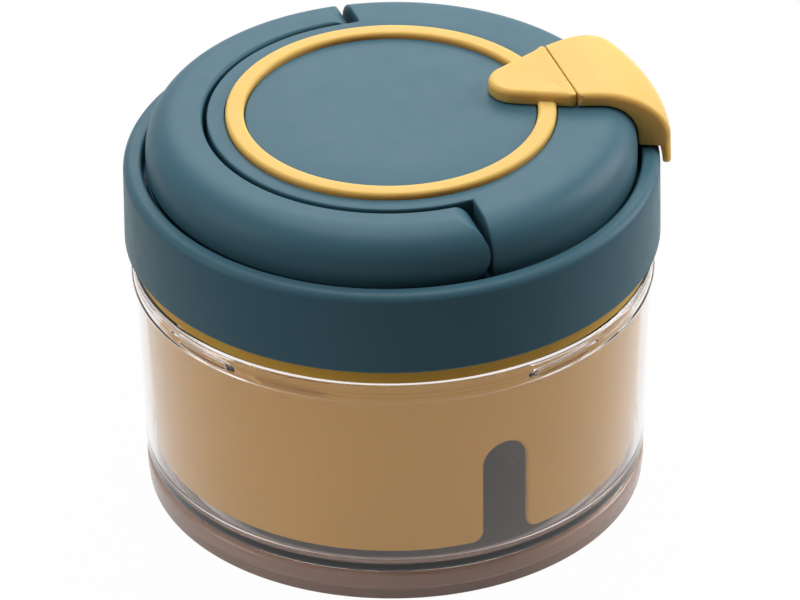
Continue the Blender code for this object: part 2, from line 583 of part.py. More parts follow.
def make_top_cover(mat):
    """Disc, fixed half shoulder and handle channel in one shell, with posts, bosses and holes."""
    groove_z = COVER_TOP_Z - RING_GROOVE_DEPTH
    profile = [(0.0, COVER_TOP_Z), (RING_INNER_RADIUS - GAP, COVER_TOP_Z), (RING_INNER_RADIUS - GAP, groove_z),
               (RING_OUTER_RADIUS + GAP, groove_z), (RING_OUTER_RADIUS + GAP, COVER_TOP_Z)]
    profile += shoulder_curve(0.0, 7)
    profile += [(SHOULDER_RADIUS, COVER_BOTTOM_Z), (0.0, COVER_BOTTOM_Z)]
    obj = turned("top_cover", profile)

    reach = 2 * SHOULDER_RADIUS
    high = COVER_TOP_Z + CUT
    channel = turned("channel_cut", [(CHANNEL_WALL_RADIUS, CHANNEL_FLOOR_Z), (CHANNEL_WALL_RADIUS, high),
                                     (reach, high), (reach, CHANNEL_FLOOR_Z)])
    boolean(channel, box("handle_side", (-2 * reach, -2 * reach, 0.0), (CHANNEL_END_X, 2 * reach, 2 * high)),
            "INTERSECT")
    boolean(obj, channel)

    low = COVER_BOTTOM_Z - CUT
    disc = rod("disc_hollow", (0, 0, low), (0, 0, COVER_CEILING_Z), DISC_HOLLOW_RADIUS, LARGE_STEPS)
    boolean(obj, disc)
    inside = shoulder_curve(-COVER_WALL, 5)
    hollow = turned("shoulder_hollow", [(0.0, inside[0][1])] + inside + [(inside[-1][0], low), (0.0, low)])
    boolean(hollow, box("fixed_side", (CHANNEL_END_X + COVER_WALL, -2 * reach, 0.0), (2 * reach, 2 * reach, high)),
            "INTERSECT")
    boolean(obj, hollow)

    plate_top = PLATE_Z + PLATE_THICKNESS + GAP
    for i in range(SCREW_COUNT):
        degrees = 45.0 + 360.0 / SCREW_COUNT * i
        x, y = polar(SCREW_CIRCLE, degrees)
        top = COVER_CEILING_Z + COVER_WALL / 2 if x > 0 else (COVER_BOTTOM_Z + CHANNEL_FLOOR_Z) / 2
        boolean(obj, rod(f"post_{i + 1}", (x, y, plate_top), (x, y, top), POST_RADIUS, 12), "UNION")
        hole_top = SCREW_TOP_Z + GAP
        boolean(obj, rod(f"post_hole_{i + 1}", (x, y, plate_top - CUT), (x, y, hole_top), SCREW_RADIUS + GAP, 10))

    boss_top = COVER_CEILING_Z + COVER_WALL / 2
    boss_low = CUP_TOP_Z + SPRING_CAP_THICKNESS + 3 * GAP
    boolean(obj, rod("spindle_boss", (0, 0, boss_low), (0, 0, boss_top), SPINDLE_BOSS_RADIUS), "UNION")
    boolean(obj, rod("spindle_hole", (0, 0, boss_low - CUT), (0, 0, SPINDLE_TOP_Z + GAP), SPINDLE_RADIUS + GAP))

    for side, label in ((-1, "front"), (1, "back")):
        inner = (HANDLE_AXIS_X, side * (HANDLE_PIN_INNER - CUT), HANDLE_AXIS_Z)
        outer = (HANDLE_AXIS_X, side * (DISC_HOLLOW_RADIUS + COVER_WALL / 2), HANDLE_AXIS_Z)
        boolean(obj, rod(f"pin_block_{label}", inner, outer, PIN_BLOCK_RADIUS, 16), "UNION")
        start = (HANDLE_AXIS_X, side * (HANDLE_PIN_INNER - GAP), HANDLE_AXIS_Z)
        end = (HANDLE_AXIS_X, side * (CHANNEL_WALL_RADIUS + CUT), HANDLE_AXIS_Z)
        boolean(obj, rod(f"pin_bore_{label}", start, end, HANDLE_PIN_RADIUS + GAP, 16))

    start, end = eyelet_ends(CUT)
    boolean(obj, rod("eyelet_hole", start, end, EYELET_RADIUS + GAP, 16))
    for side in (-1, 1):
        x, y = DOCK_TIP_X, side * DOCK_PEG_Y
        boolean(obj, rod(f"peg_hole_{side + 2}", (x, y, COVER_CEILING_Z - CUT), (x, y, high),
                         DOCK_PEG_RADIUS + GAP, 12))
    return keep(obj, mat)


def pull_direction():
    """The way the cord and the tab leave the lid."""
    angle = math.radians(PULL_ELEVATION_DEG)
    return Vector((math.cos(angle), 0.0, math.sin(angle)))


def eyelet_ends(extra=0.0):
    """The two ends of the cord eyelet, which stops just under the shoulder's skin."""
    share = (EYELET_X - SHOULDER_FLAT_RADIUS) / (SHOULDER_RADIUS - SHOULDER_FLAT_RADIUS)
    height = SHOULDER_DROP * (1.0 - share ** SHOULDER_EXPONENT) ** (1.0 / SHOULDER_EXPONENT)
    skin = Vector((EYELET_X, 0.0, COVER_TOP_Z - SHOULDER_DROP + height))
    along = pull_direction()
    outer = skin - along * (EYELET_RADIUS / 2) + along * extra
    return skin - along * (EYELET_RADIUS / 2 + EYELET_LENGTH + extra), outer


def make_cord_eyelet(mat):
    """Polished eyelet that lines the cord's outlet."""
    start, end = eyelet_ends()
    along = pull_direction()
    obj = rod("cord_eyelet", start, end, EYELET_RADIUS, 16)
    boolean(obj, rod("eyelet_bore", start - along * CUT, end + along * CUT, EYELET_BORE, 12))
    return keep(obj, mat)


def dock_outline(grow=0.0):
    """Rounded triangle of the tab dock; its flat end faces the pull tab."""
    tip = DOCK_TIP_RADIUS
    length = SPLIT_X - DOCK_TIP_X
    distance = math.hypot(length, DOCK_HALF_WIDTH)
    lean = math.atan2(DOCK_HALF_WIDTH, length) - math.asin(tip / distance)
    start = 90.0 + math.degrees(lean)
    points = []
    for i in range(13):
        x, y = polar(tip + grow, start + (360.0 - 2 * start) * i / 12)
        points.append((DOCK_TIP_X + x, y))
    widen = grow / math.cos(lean)
    corner = DOCK_HALF_WIDTH + widen
    return [(SPLIT_X, corner)] + points + [(SPLIT_X, -corner)]


def make_accent_ring(mat):
    """Raised coloured ring round the disc, open where the dock sits."""
    low = COVER_TOP_Z - RING_GROOVE_DEPTH + GAP
    inner, outer, edge = RING_INNER_RADIUS, RING_OUTER_RADIUS, RING_EDGE
    profile = [(inner, low)] + arc(inner + edge, RING_TOP_Z - edge, edge, edge, 180, 90, 2)
    profile += arc(outer - edge, RING_TOP_Z - edge, edge, edge, 90, 0, 2) + [(outer, low)]
    obj = turned("accent_ring", profile)
    boolean(obj, prism("dock_clearance", dock_outline(GAP), low - CUT, DOCK_TOP_Z + CUT))
    return keep(obj, mat)


def make_tab_dock(mat):
    """Rounded triangular dock that the pull tab parks against."""
    obj = prism("tab_dock", dock_outline(), COVER_TOP_Z + GAP, DOCK_TOP_Z)
    round_edges(obj, DOCK_EDGE, 50.0, 3)
    for side in (-1, 1):
        x, y = DOCK_TIP_X, side * DOCK_PEG_Y
        low = COVER_CEILING_Z + GAP
        boolean(obj, rod(f"dock_peg_{side + 2}", (x, y, low), (x, y, COVER_TOP_Z + 4 * GAP), DOCK_PEG_RADIUS, 12),
                "UNION")
    return keep(obj, mat)


def make_pull_tab(mat, origin):
    """Tab draped over the shoulder, with a lip that hooks over the collar for the fingers."""
    start = SPLIT_X + GAP
    over_collar = COLLAR_TOP_Z + RUNNING_GAP
    lip_inner = COLLAR_RADIUS + GAP
    tip = TAB_LIP_WALL / 2
    crown = DOCK_TOP_Z - TAB_DROP
    profile = [(start - CUT, TAB_SECTION_Z), (start - CUT, DOCK_TOP_Z)]
    profile += arc(TAB_FLAT_RADIUS, crown, TAB_OUTER_RADIUS - TAB_FLAT_RADIUS, TAB_DROP, 90, 0, 7)
    profile += arc(TAB_OUTER_RADIUS - tip, TAB_LIP_Z + tip, tip, tip, 0, -180, 4)
    profile += [(lip_inner, over_collar), (COLLAR_INNER_RADIUS, over_collar + GAP)]
    profile += shoulder_curve(GAP, 6, top_first=False)
    obj = turned("pull_tab", profile, TAB_STEPS)

    spread = math.radians(TAB_HALF_DEG)
    far = TAB_OUTER_RADIUS + CUT
    half_in = DOCK_HALF_WIDTH
    half_out = TAB_OUTER_RADIUS * math.sin(spread)
    knee = TAB_OUTER_RADIUS * math.cos(spread)
    outline = [(start, half_in), (start, -half_in), (knee, -half_out), (far, -half_out), (far, half_out),
               (knee, half_out)]
    side = prism("tab_plan", outline, TAB_FLARE_Z, DOCK_TOP_Z + CUT)
    flare = prism("tab_flare", outline, TAB_LIP_Z - CUT, TAB_FLARE_Z)
    for vert in flare.data.vertices:
        if vert.co.z < (TAB_LIP_Z + TAB_FLARE_Z) / 2:
            vert.co.y *= 1.0 + TAB_FLARE
    boolean(side, flare, "UNION")
    boolean(obj, side, "INTERSECT")
    round_edges(obj, TAB_EDGE, 50.0, 2)
    _, mouth = eyelet_ends()
    along = pull_direction()
    hole = rod("tab_cord_hole", mouth - along * CUT, mouth + along * TAB_CORD_DEPTH, TAB_CORD_HOLE, 12)
    boolean(obj, hole)
    return keep(obj, mat, origin)


def handle_envelope(reach, low, high):
    """The side view that the handle is cut to: everything behind the pivot's axis and a half round end.

    The end's first and last sides run on past the handle's top and bottom, so they cross those planes.
    """
    step = math.pi / HANDLE_END_STEPS
    radius = HANDLE_END_RADIUS
    points = [(HANDLE_AXIS_X - radius * math.sin(step), HANDLE_AXIS_Z + radius * (2 - math.cos(step)))]
    for i in range(1, HANDLE_END_STEPS):
        angle = math.pi / 2 - step * i
        points.append((HANDLE_AXIS_X + radius * math.cos(angle), HANDLE_AXIS_Z + radius * math.sin(angle)))
    points.append((points[0][0], 2 * HANDLE_AXIS_Z - points[0][1]))
    outline = [(-reach, high), (points[0][0], high)] + points + [(points[0][0], low), (-reach, low)]
    envelope = prism("handle_envelope", outline, -reach, reach)
    envelope.data.transform(Matrix.Rotation(math.pi / 2, 4, "X"))
    return envelope


def make_carry_handle(mat, origin):
    """Half ring bail that lies flush in the channel and turns up on its two pins."""
    inner, edge = HANDLE_INNER_RADIUS, HANDLE_EDGE
    profile = [(inner, HANDLE_BOTTOM_Z)] + arc(inner + edge, COVER_TOP_Z - edge, edge, edge, 180, 90, 2)
    profile += shoulder_curve(0.0, 7)
    profile += [(SHOULDER_RADIUS, HANDLE_BOTTOM_Z + edge), (SHOULDER_RADIUS - edge, HANDLE_BOTTOM_Z)]
    obj = turned("carry_handle", profile)
    reach = 2 * SHOULDER_RADIUS
    low, high = HANDLE_BOTTOM_Z - CUT, COVER_TOP_Z + CUT
    boolean(obj, handle_envelope(reach, low, high), "INTERSECT")

    wall = HANDLE_SHELL
    hollow = turned("handle_hollow", [(inner + wall, low), (inner + wall, COVER_TOP_Z - wall - edge),
                                      (SHOULDER_RADIUS - 2 * wall, COVER_TOP_Z - wall - edge),
                                      (SHOULDER_RADIUS - wall, COVER_TOP_Z - SHOULDER_DROP),
                                      (SHOULDER_RADIUS - wall, low)])
    boolean(hollow, box("hollow_half", (-2 * reach, -2 * reach, 0.0),
                        (HANDLE_AXIS_X - HANDLE_SOLID_END, 2 * reach, high)), "INTERSECT")
    boolean(obj, hollow)
    for side, label in ((-1, "front"), (1, "back")):
        start = (HANDLE_AXIS_X, side * (inner - 2 * CUT), HANDLE_AXIS_Z)
        end = (HANDLE_AXIS_X, side * (HANDLE_PIN_OUTER + GAP), HANDLE_AXIS_Z)
        boolean(obj, rod(f"leg_bore_{label}", start, end, HANDLE_PIN_RADIUS + GAP, 16))
    return keep(obj, mat, origin)


def make_handle_pins(mat):
    """Steel pins that carry the handle's two ends."""
    for side, label in ((-1, "front"), (1, "back")):
        start = (HANDLE_AXIS_X, side * HANDLE_PIN_INNER, HANDLE_AXIS_Z)
        end = (HANDLE_AXIS_X, side * HANDLE_PIN_OUTER, HANDLE_AXIS_Z)
        keep(rod(f"handle_pin_{label}", start, end, HANDLE_PIN_RADIUS, 16), mat)


def make_base_plate(mat):
    """Plate that closes the lid from below and clamps the collar's ledge under the cover."""
    low, top = PLATE_Z, PLATE_Z + PLATE_THICKNESS
    spigot_out = SLEEVE_INNER_RADIUS - GAP
    ring_out = COLLAR_SKIRT_RADIUS - 4 * GAP
    bore = BUSH_RADIUS + GAP
    profile = [(bore, low), (bore, top), (ring_out - PLATE_RING_WALL, top),
               (ring_out - PLATE_RING_WALL, LEDGE_BOTTOM_Z - GAP), (ring_out, LEDGE_BOTTOM_Z - GAP),
               (ring_out, top), (PLATE_RADIUS, top), (PLATE_RADIUS, low), (spigot_out, low),
               (spigot_out, low - PLATE_SPIGOT_DEPTH), (spigot_out - PLATE_SPIGOT_WALL, low - PLATE_SPIGOT_DEPTH),
               (spigot_out - PLATE_SPIGOT_WALL, low)]
    obj = turned("base_plate", profile)
    for i in range(SCREW_COUNT):
        x, y = polar(SCREW_CIRCLE, 45.0 + 360.0 / SCREW_COUNT * i)
        boolean(obj, rod(f"plate_hole_{i + 1}", (x, y, low - CUT), (x, y, top + CUT), SCREW_RADIUS + GAP, 12))
        boolean(obj, rod(f"head_seat_{i + 1}", (x, y, low - CUT), (x, y, low + SCREW_HEAD_HEIGHT),
                         SCREW_HEAD_RADIUS + GAP, 16))
    return keep(obj, mat)


def make_lid_screws(mat):
    """Screws that hold the base plate to the cover's posts."""
    for i in range(SCREW_COUNT):
        x, y = polar(SCREW_CIRCLE, 45.0 + 360.0 / SCREW_COUNT * i)
        head_top = PLATE_Z + SCREW_HEAD_HEIGHT - GAP
        obj = rod(f"lid_screw_{i + 1}", (x, y, PLATE_Z), (x, y, head_top), SCREW_HEAD_RADIUS, 16)
        boolean(obj, rod(f"screw_shank_{i + 1}", (x, y, head_top - GAP), (x, y, SCREW_TOP_Z), SCREW_RADIUS, 12),
                "UNION")
        half, length = SCREW_SLOT_WIDTH / 2, 2 * SCREW_HEAD_RADIUS
        boolean(obj, box(f"screw_slot_{i + 1}", (x - half, y - length, PLATE_Z - CUT),
                         (x + half, y + length, PLATE_Z + SCREW_HEAD_HEIGHT / 2)))
        keep(obj, mat)


def make_drive_bush(mat):
    """Flanged bush in the base plate for the drive shaft."""
    bore = SHAFT_RADIUS + GAP
    flange_low = PLATE_Z + PLATE_THICKNESS + GAP
    profile = [(bore, PLATE_Z), (bore, BUSH_TOP_Z), (BUSH_FLANGE_RADIUS, BUSH_TOP_Z),
               (BUSH_FLANGE_RADIUS, flange_low), (BUSH_RADIUS, flange_low), (BUSH_RADIUS, PLATE_Z)]
    return keep(turned("drive_bush", profile, SMALL_STEPS), mat)


def hex_prism(name, corner_radius, low, high):
    """Six sided bar or cutter on the axis."""
    return rod(name, (0, 0, low), (0, 0, high), corner_radius, 6)


def clutch_teeth(obj, base_z, direction, label):
    """Joins a crown of one way wedge teeth to a disc; direction is 1 for up and -1 for down."""
    half = CLUTCH_TOOTH_WIDTH / 2 - GAP / 2
    root, tip = -direction * 2 * GAP, direction * CLUTCH_TOOTH_HEIGHT
    outline = [(-half, root), (half, root), (half, direction * GAP / 2), (half, tip), (-half, 0.0)]
    if direction < 0:
        outline = [(-half, root), (half, root), (half, 0.0), (-half, tip)]
    for i in range(CLUTCH_TEETH):
        tooth = prism(f"{label}_tooth_{i + 1}", outline, CLUTCH_TOOTH_INNER, CLUTCH_TOOTH_OUTER)
        stand = Matrix(((0, 0, 1, 0), (1, 0, 0, 0), (0, 1, 0, base_z), (0, 0, 0, 1)))
        tooth.data.transform(Matrix.Rotation(math.tau * i / CLUTCH_TEETH, 4, "Z") @ stand)
        boolean(obj, tooth, "UNION")


def make_drive_socket(mat):
    """Shaft with a hexagonal socket for the blade hub and the driven half of the clutch."""
    profile = [(0.0, TEETH_Z), (CLUTCH_DISC_RADIUS, TEETH_Z), (CLUTCH_DISC_RADIUS, DISC_Z), (SHAFT_RADIUS, DISC_Z),
               (SHAFT_RADIUS, SOCKET_BOTTOM_Z), (0.0, SOCKET_BOTTOM_Z)]
    obj = turned("drive_socket", profile, SMALL_STEPS)
    socket_radius = HUB_HEX_RADIUS + GAP / math.cos(math.pi / 6)
    boolean(obj, hex_prism("socket_hex", socket_radius, SOCKET_BOTTOM_Z - CUT, HUB_TOP_Z + GAP))
    clutch_teeth(obj, TEETH_Z, 1, "driven")
    return keep(obj, mat)


def make_cord_spool(mat):
    """Spool with its cord groove, spring cup and the driving half of the clutch."""
    bore = SPINDLE_RADIUS + RUNNING_GAP
    core, rim, wall = SPOOL_CORE_RADIUS, SPOOL_FLANGE_RADIUS, SPRING_CUP_WALL
    profile = [(bore, SPOOL_Z), (bore, CUP_FLOOR_Z), (core - wall, CUP_FLOOR_Z), (core - wall, CUP_TOP_Z),
               (core, CUP_TOP_Z), (core, CUP_FLOOR_Z), (rim, CUP_FLOOR_Z), (rim, SPOOL_UPPER_Z),
               (core, SPOOL_UPPER_Z), (core, SPOOL_GROOVE_Z), (rim, SPOOL_GROOVE_Z), (rim, SPOOL_Z)]
    obj = turned("cord_spool", profile, MEDIUM_STEPS)
    clutch_teeth(obj, SPOOL_Z, -1, "driving")
    knot = rod("knot_hole", (core - wall, 0, SPOOL_GROOVE_Z + SPOOL_GROOVE / 2),
               (rim, 0, SPOOL_GROOVE_Z + SPOOL_GROOVE / 2), KNOT_HOLE_RADIUS, 12)
    boolean(obj, knot)
    return keep(obj, mat)


def make_spring_cap(mat):
    """Disc that closes the spring cup."""
    low = CUP_TOP_Z + GAP
    bore = SPINDLE_RADIUS + RUNNING_GAP
    profile = [(bore, low), (bore, low + SPRING_CAP_THICKNESS), (SPOOL_CORE_RADIUS, low + SPRING_CAP_THICKNESS),
               (SPOOL_CORE_RADIUS, low)]
    return keep(turned("spring_cap", profile, SMALL_STEPS), mat)


def make_recoil_spring(mat):
    """Flat spiral spring between the spindle and the spool's cup."""
    end_radius = SPOOL_CORE_RADIUS - SPRING_CUP_WALL - 2 * GAP - SPRING_THICKNESS
    count = round(SPRING_TURNS * 16)
    inner_side, outer_side = [], []
    for i in range(count + 1):
        share = i / count
        radius = SPRING_START_RADIUS + (end_radius - SPRING_START_RADIUS) * share
        angle = math.tau * SPRING_TURNS * share
        inner_side.append((radius * math.cos(angle), radius * math.sin(angle)))
        outer = radius + SPRING_THICKNESS
        outer_side.append((outer * math.cos(angle), outer * math.sin(angle)))
    low, high = CUP_FLOOR_Z + GAP, CUP_TOP_Z - GAP
    return keep(prism("recoil_spring", outer_side + inner_side[::-1], low, high), mat)


def make_spindle(mat):
    """Steel spindle pressed into the cover, on which the spool turns."""
    low = TEETH_Z + GAP
    profile = [(0.0, SPINDLE_TOP_Z), (SPINDLE_RADIUS, SPINDLE_TOP_Z), (SPINDLE_RADIUS, low + SPINDLE_EDGE),
               (SPINDLE_RADIUS - SPINDLE_EDGE, low), (0.0, low)]
    return keep(turned("spindle", profile, SMALL_STEPS), mat)


def make_blade_hub(mat):
    """Hub that turns on the pivot pin, with slots for the blades and a hexagonal drive end."""
    low = BOSS_TOP_Z + GAP
    foot_z = low + HUB_FOOT_HEIGHT
    profile = [(0.0, HUB_SHOULDER_Z), (HUB_NECK_RADIUS - HUB_EDGE, HUB_SHOULDER_Z),
               (HUB_NECK_RADIUS, HUB_SHOULDER_Z - HUB_EDGE)]
    profile += arc(HUB_FOOT_RADIUS, foot_z, HUB_FOOT_RADIUS - HUB_RADIUS, HUB_FOOT_FILLET, 180, 270, 3)
    profile += [(HUB_FOOT_RADIUS, low), (0.0, low)]
    obj = turned("blade_hub", profile, SMALL_STEPS)
    boolean(obj, hex_prism("hub_hex", HUB_HEX_RADIUS, HUB_SHOULDER_Z - CUT, HUB_TOP_Z), "UNION")
    boolean(obj, rod("hub_bore", (0, 0, low - CUT), (0, 0, PIN_TOP_Z + GAP), PIN_RADIUS + GAP))
    for i, height in enumerate(BLADE_HEIGHTS):
        reach = HUB_FOOT_RADIUS + CUT
        half = BLADE_TANG_WIDTH / 2 + GAP
        slot = box(f"blade_slot_{i + 1}", (BLADE_TANG_RADIUS - GAP, -half, height - GAP),
                   (reach, half, height + BLADE_THICKNESS + GAP))
        slot.data.transform(Matrix.Rotation(math.tau * i / len(BLADE_HEIGHTS), 4, "Z"))
        boolean(obj, slot)
    return keep(obj, mat)


def blade_outlines():
    """Lower and upper outline of a curved blade; the upper one is ground back along the cutting edge."""
    half = BLADE_TANG_WIDTH / 2
    root_x = HUB_FOOT_RADIUS
    middle, half_span = (root_x + BLADE_REACH) / 2, (BLADE_REACH - root_x) / 2
    drop = math.sqrt(BLADE_ARC_RADIUS ** 2 - half_span ** 2)
    spread = math.asin(half_span / BLADE_ARC_RADIUS)
    lower, upper = [(BLADE_TANG_RADIUS, -half)], [(BLADE_TANG_RADIUS, -half)]
    for i in range(17):
        angle = -spread + 2 * spread * i / 16
        x = middle + BLADE_ARC_RADIUS * math.sin(angle)
        y = -half + drop - BLADE_ARC_RADIUS * math.cos(angle)
        ground = BLADE_BEVEL * min(1.0, i / 3, (16 - i) / 2)
        lower.append((x, y))
        upper.append((x, y + ground))
    for i in range(9):
        share = i / 8
        bow = math.sin(math.pi * share) * BLADE_CHORD * 0.12
        point = (BLADE_REACH + (root_x - BLADE_REACH) * share, -half + 0.0030 + (2 * half - 0.0030) * share - bow)
        lower.append(point)
        upper.append(point)
    lower.append((BLADE_TANG_RADIUS, half))
    upper.append((BLADE_TANG_RADIUS, half))
    return lower, upper


def make_blades(mat):
    """Three ground blades, stepped up the hub a third of a turn apart."""
    lower, upper = blade_outlines()
    for i, height in enumerate(BLADE_HEIGHTS):
        obj = loft(f"blade_{i + 1}", lower, upper, height, height + BLADE_THICKNESS)
        obj.data.transform(Matrix.Rotation(math.tau * i / len(BLADE_HEIGHTS), 4, "Z"))
        keep(obj, mat)


def build():
    """Makes the collections and every piece."""
    global parts, cutters
    clear_scene()
    parts = bpy.data.collections.new("food_chopper")
    cutters = bpy.data.collections.new("food_chopper_cutters")
    bpy.context.scene.collection.children.link(parts)
    bpy.context.scene.collection.children.link(cutters)

    teal = make_material("Teal plastic", (0.030, 0.085, 0.110), 0.45)
    yellow = make_material("Yellow plastic", (0.830, 0.560, 0.160), 0.40)
    sleeve = make_material("Tan plastic", (0.640, 0.420, 0.150), 0.45)
    clear = make_material("Clear plastic", (0.950, 0.950, 0.940), 0.05, transmission=0.9)
    smoke = make_material("Smoke elastomer", (0.420, 0.350, 0.300), 0.20, transmission=0.6)
    silicone = make_material("Silicone", (0.850, 0.840, 0.800), 0.50)
    white = make_material("White plastic", (0.800, 0.800, 0.780), 0.45)
    steel = make_material("Stainless steel", (0.620, 0.620, 0.640), 0.22, metallic=1.0)
    spring = make_material("Spring steel", (0.300, 0.300, 0.330), 0.30, metallic=1.0)

    make_bowl(clear)
    make_foot_ring(smoke)
    make_pivot_pin(steel)
    make_seal_ring(silicone)
    make_inner_sleeve(sleeve)
    make_collar(teal)
    make_top_cover(teal)
    make_accent_ring(yellow)
    make_tab_dock(yellow)
    make_pull_tab(yellow, (SPLIT_X, 0.0, COVER_TOP_Z))
    make_carry_handle(teal, (HANDLE_AXIS_X, 0.0, HANDLE_AXIS_Z))
    make_handle_pins(steel)
    make_base_plate(white)
    make_lid_screws(steel)
    make_drive_bush(white)
    make_drive_socket(white)
    make_cord_spool(white)
    make_spring_cap(white)
    make_recoil_spring(spring)
    make_spindle(steel)
    make_cord_eyelet(steel)
    make_blade_hub(white)
    make_blades(steel)


if __name__ == "__main__":
    build()
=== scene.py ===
"""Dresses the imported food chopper: clear bowl, tan sleeve, dark teal lid with its carry handle and
yellow pull tab, made as surfaces worked out with numpy, with procedural materials, floor and light.

Metres, +Z up, the lid's axis on Z and the pull tab towards +X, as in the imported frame.
"""
import math

import bmesh
import bpy
import numpy as np
from bpy.props import FloatProperty, FloatVectorProperty, IntProperty, PointerProperty
from mathutils import Euler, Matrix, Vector


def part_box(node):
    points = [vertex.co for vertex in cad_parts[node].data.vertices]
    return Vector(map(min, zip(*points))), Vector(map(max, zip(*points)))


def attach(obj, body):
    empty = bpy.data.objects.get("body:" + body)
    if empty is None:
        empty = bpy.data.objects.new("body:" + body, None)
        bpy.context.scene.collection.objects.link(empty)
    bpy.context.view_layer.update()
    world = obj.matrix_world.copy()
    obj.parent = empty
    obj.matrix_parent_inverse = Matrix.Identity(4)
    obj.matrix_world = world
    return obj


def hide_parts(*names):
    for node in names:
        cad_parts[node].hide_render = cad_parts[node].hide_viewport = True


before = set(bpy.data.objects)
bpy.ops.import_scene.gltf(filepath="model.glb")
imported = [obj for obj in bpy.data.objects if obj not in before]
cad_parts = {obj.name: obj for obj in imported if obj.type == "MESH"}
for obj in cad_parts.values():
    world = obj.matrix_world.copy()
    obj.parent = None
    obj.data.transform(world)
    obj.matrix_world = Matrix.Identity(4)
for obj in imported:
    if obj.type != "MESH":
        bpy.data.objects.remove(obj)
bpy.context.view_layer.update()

bl_info = {
    "name": "Pull Cord Food Chopper",
    "version": (1, 0, 0),
    "blender": (4, 5, 0),
    "location": "View3D > Sidebar > Chopper",
    "description": "Builds the bowl, sleeve, lid, handle and pull tab of a food chopper on its frame",
    "category": "Add Mesh",
}

TAU = 2.0 * math.pi
SHARP = math.radians(38.0)  # an edge between two faces stays sharp from this angle on

# Lengths in metres and angles that no property holds
SEAT = 0.0003  # clearance of what seats on or in another piece
BOSS_HEIGHT = 0.0048  # bowl's boss over its floor
SKIRT_LOW = 0.0025  # lower edge of the bowl's skirt
TAB_PLAY = 0.0004  # bowl's bayonet tabs to the sleeve's wall
TAB_BELOW, TAB_ABOVE = 0.0004, 0.0022  # the tabs' reach under and over the band's lower edge
TAB_TURN, TAB_HALF = math.radians(-66.0), math.radians(9.0)  # direction of a tab, half its span
LUG_BELOW, LUG_PLAY = 0.0025, 0.0006  # sleeve's lugs: reach under that edge, play to the bowl's wall
LUG_TURN, LUG_HALF = math.radians(-42.0), math.radians(8.0)
WINDOW_FADE = math.radians(4.0)  # over which a tab or a lug fades out at its ends
FOOT_GROOVE, FOOT_STEP = 0.0022, 0.0003  # floor of the foot's groove, depth of its fine step
SKIRT_INNER = 0.0597  # inside of the collar under its ledge
LEDGE_LOW, LEDGE_TOP, LEDGE_INNER = 0.0770, 0.0797, 0.0530
COVER_LOW, COVER_WALL = 0.0800, 0.0024  # cover's lower edge, thickness of its top
CAVITY_RADIUS, POST_RADIUS, POST_LOW = 0.0405, 0.0058, 0.0848  # spool's cavity and spindle's post
RING_GROOVE, RING_SINK = 0.0011, 0.0008  # depth of the accent ring's groove, and of the ring in it
RING_STOP = math.radians(11.0)  # angle from +X at which the accent ring ends, inside the dock
HANDLE_FOOT, HOLLOW_STEP = 0.0008, 0.0007  # fillet at the handle's foot, half the slope of its hollow
FLOOR_RADIUS, FLOOR_DROP = 3.0, 0.0002
SHADE_START, SHADE_END, WHITE_SHARE = 0.0460, 0.0540, 0.985  # radii over which the floor turns white
WORLD_LIGHT = 0.08  # strength of the world, apart from the background that it shows
AIM = (0.0, 0.0, 0.06)  # what every lamp faces
LAMPS = (("overhead", 15.5, 0.9, 0.9, (0.06, 0.30, 1.35)), ("behind", 8.5, 1.2, 0.6, (0.38, 1.15, 0.85)),
         ("left", 4.2, 0.5, 0.8, (-1.15, 0.10, 0.55)), ("right", 12.0, 0.5, 0.8, (1.15, 0.15, 0.60)))


def node_top(node):
    """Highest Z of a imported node."""
    return float(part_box(node)[1][2])


def node_bottom(node):
    """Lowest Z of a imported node."""
    return float(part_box(node)[0][2])


def node_radius(node):
    """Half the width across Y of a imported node."""
    low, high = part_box(node)
    return float(high[1] - low[1]) / 2


def size(name, default, description):
    """A length property in metres."""
    return FloatProperty(name=name, description=description, default=default, unit="LENGTH", precision=5)


def colour(name, default, description):
    """A linear colour property."""
    return FloatVectorProperty(name=name, description=description, default=default, subtype="COLOR",
                               size=3, min=0.0, max=1.0)


# Sizes and colours


class ChopperBowl(bpy.types.PropertyGroup):
    rim_z: size("Rim height", node_top("bowl"), "Height of the bowl's rim")
    rim_radius: size("Rim radius", node_radius("bowl"), "Outside of the thick rim band")
    band_z: size("Band bottom", 0.0554, "Underside of the rim band")
    bead: size("Bead", 0.0003, "Height of the bead on the band's lower edge")
    top_radius: size("Wall radius at top", 0.0608, "Outside of the wall just under the band")
    base_radius: size("Wall radius at base", 0.0596, "Outside of the wall at its foot")
    base_z: size("Base height", 0.0072, "Level at which the wall turns in to its skirt")
    wall: size("Wall", 0.0022, "Thickness of the wall")
    floor_z: size("Floor height", 0.0082, "Inside of the floor")
    floor: size("Floor thickness", 0.0030, "Thickness of the floor")
    skirt_radius: size("Skirt radius", 0.0565, "Outside of the skirt in the foot ring")
    skirt_wall: size("Skirt wall", 0.0022, "Thickness of the skirt")
    boss_radius: size("Boss radius", 0.0065, "Radius of the boss round the pivot pin")
    seal_inner: size("Seal inner radius", 0.0586, "Inside of the seal ring")
    seal_outer: size("Seal outer radius", node_radius("seal_ring"), "Outside of the seal ring")
    foot_radius: size("Foot radius", node_radius("foot_ring"), "Outside of the foot ring")
    foot_height: size("Foot height", node_top("foot_ring"), "Height of the foot ring")
    foot_inner: size("Foot inner radius", 0.0520, "Inside of the foot ring")
    steps: IntProperty(name="Columns", description="Columns round each turned piece", default=240, min=48)


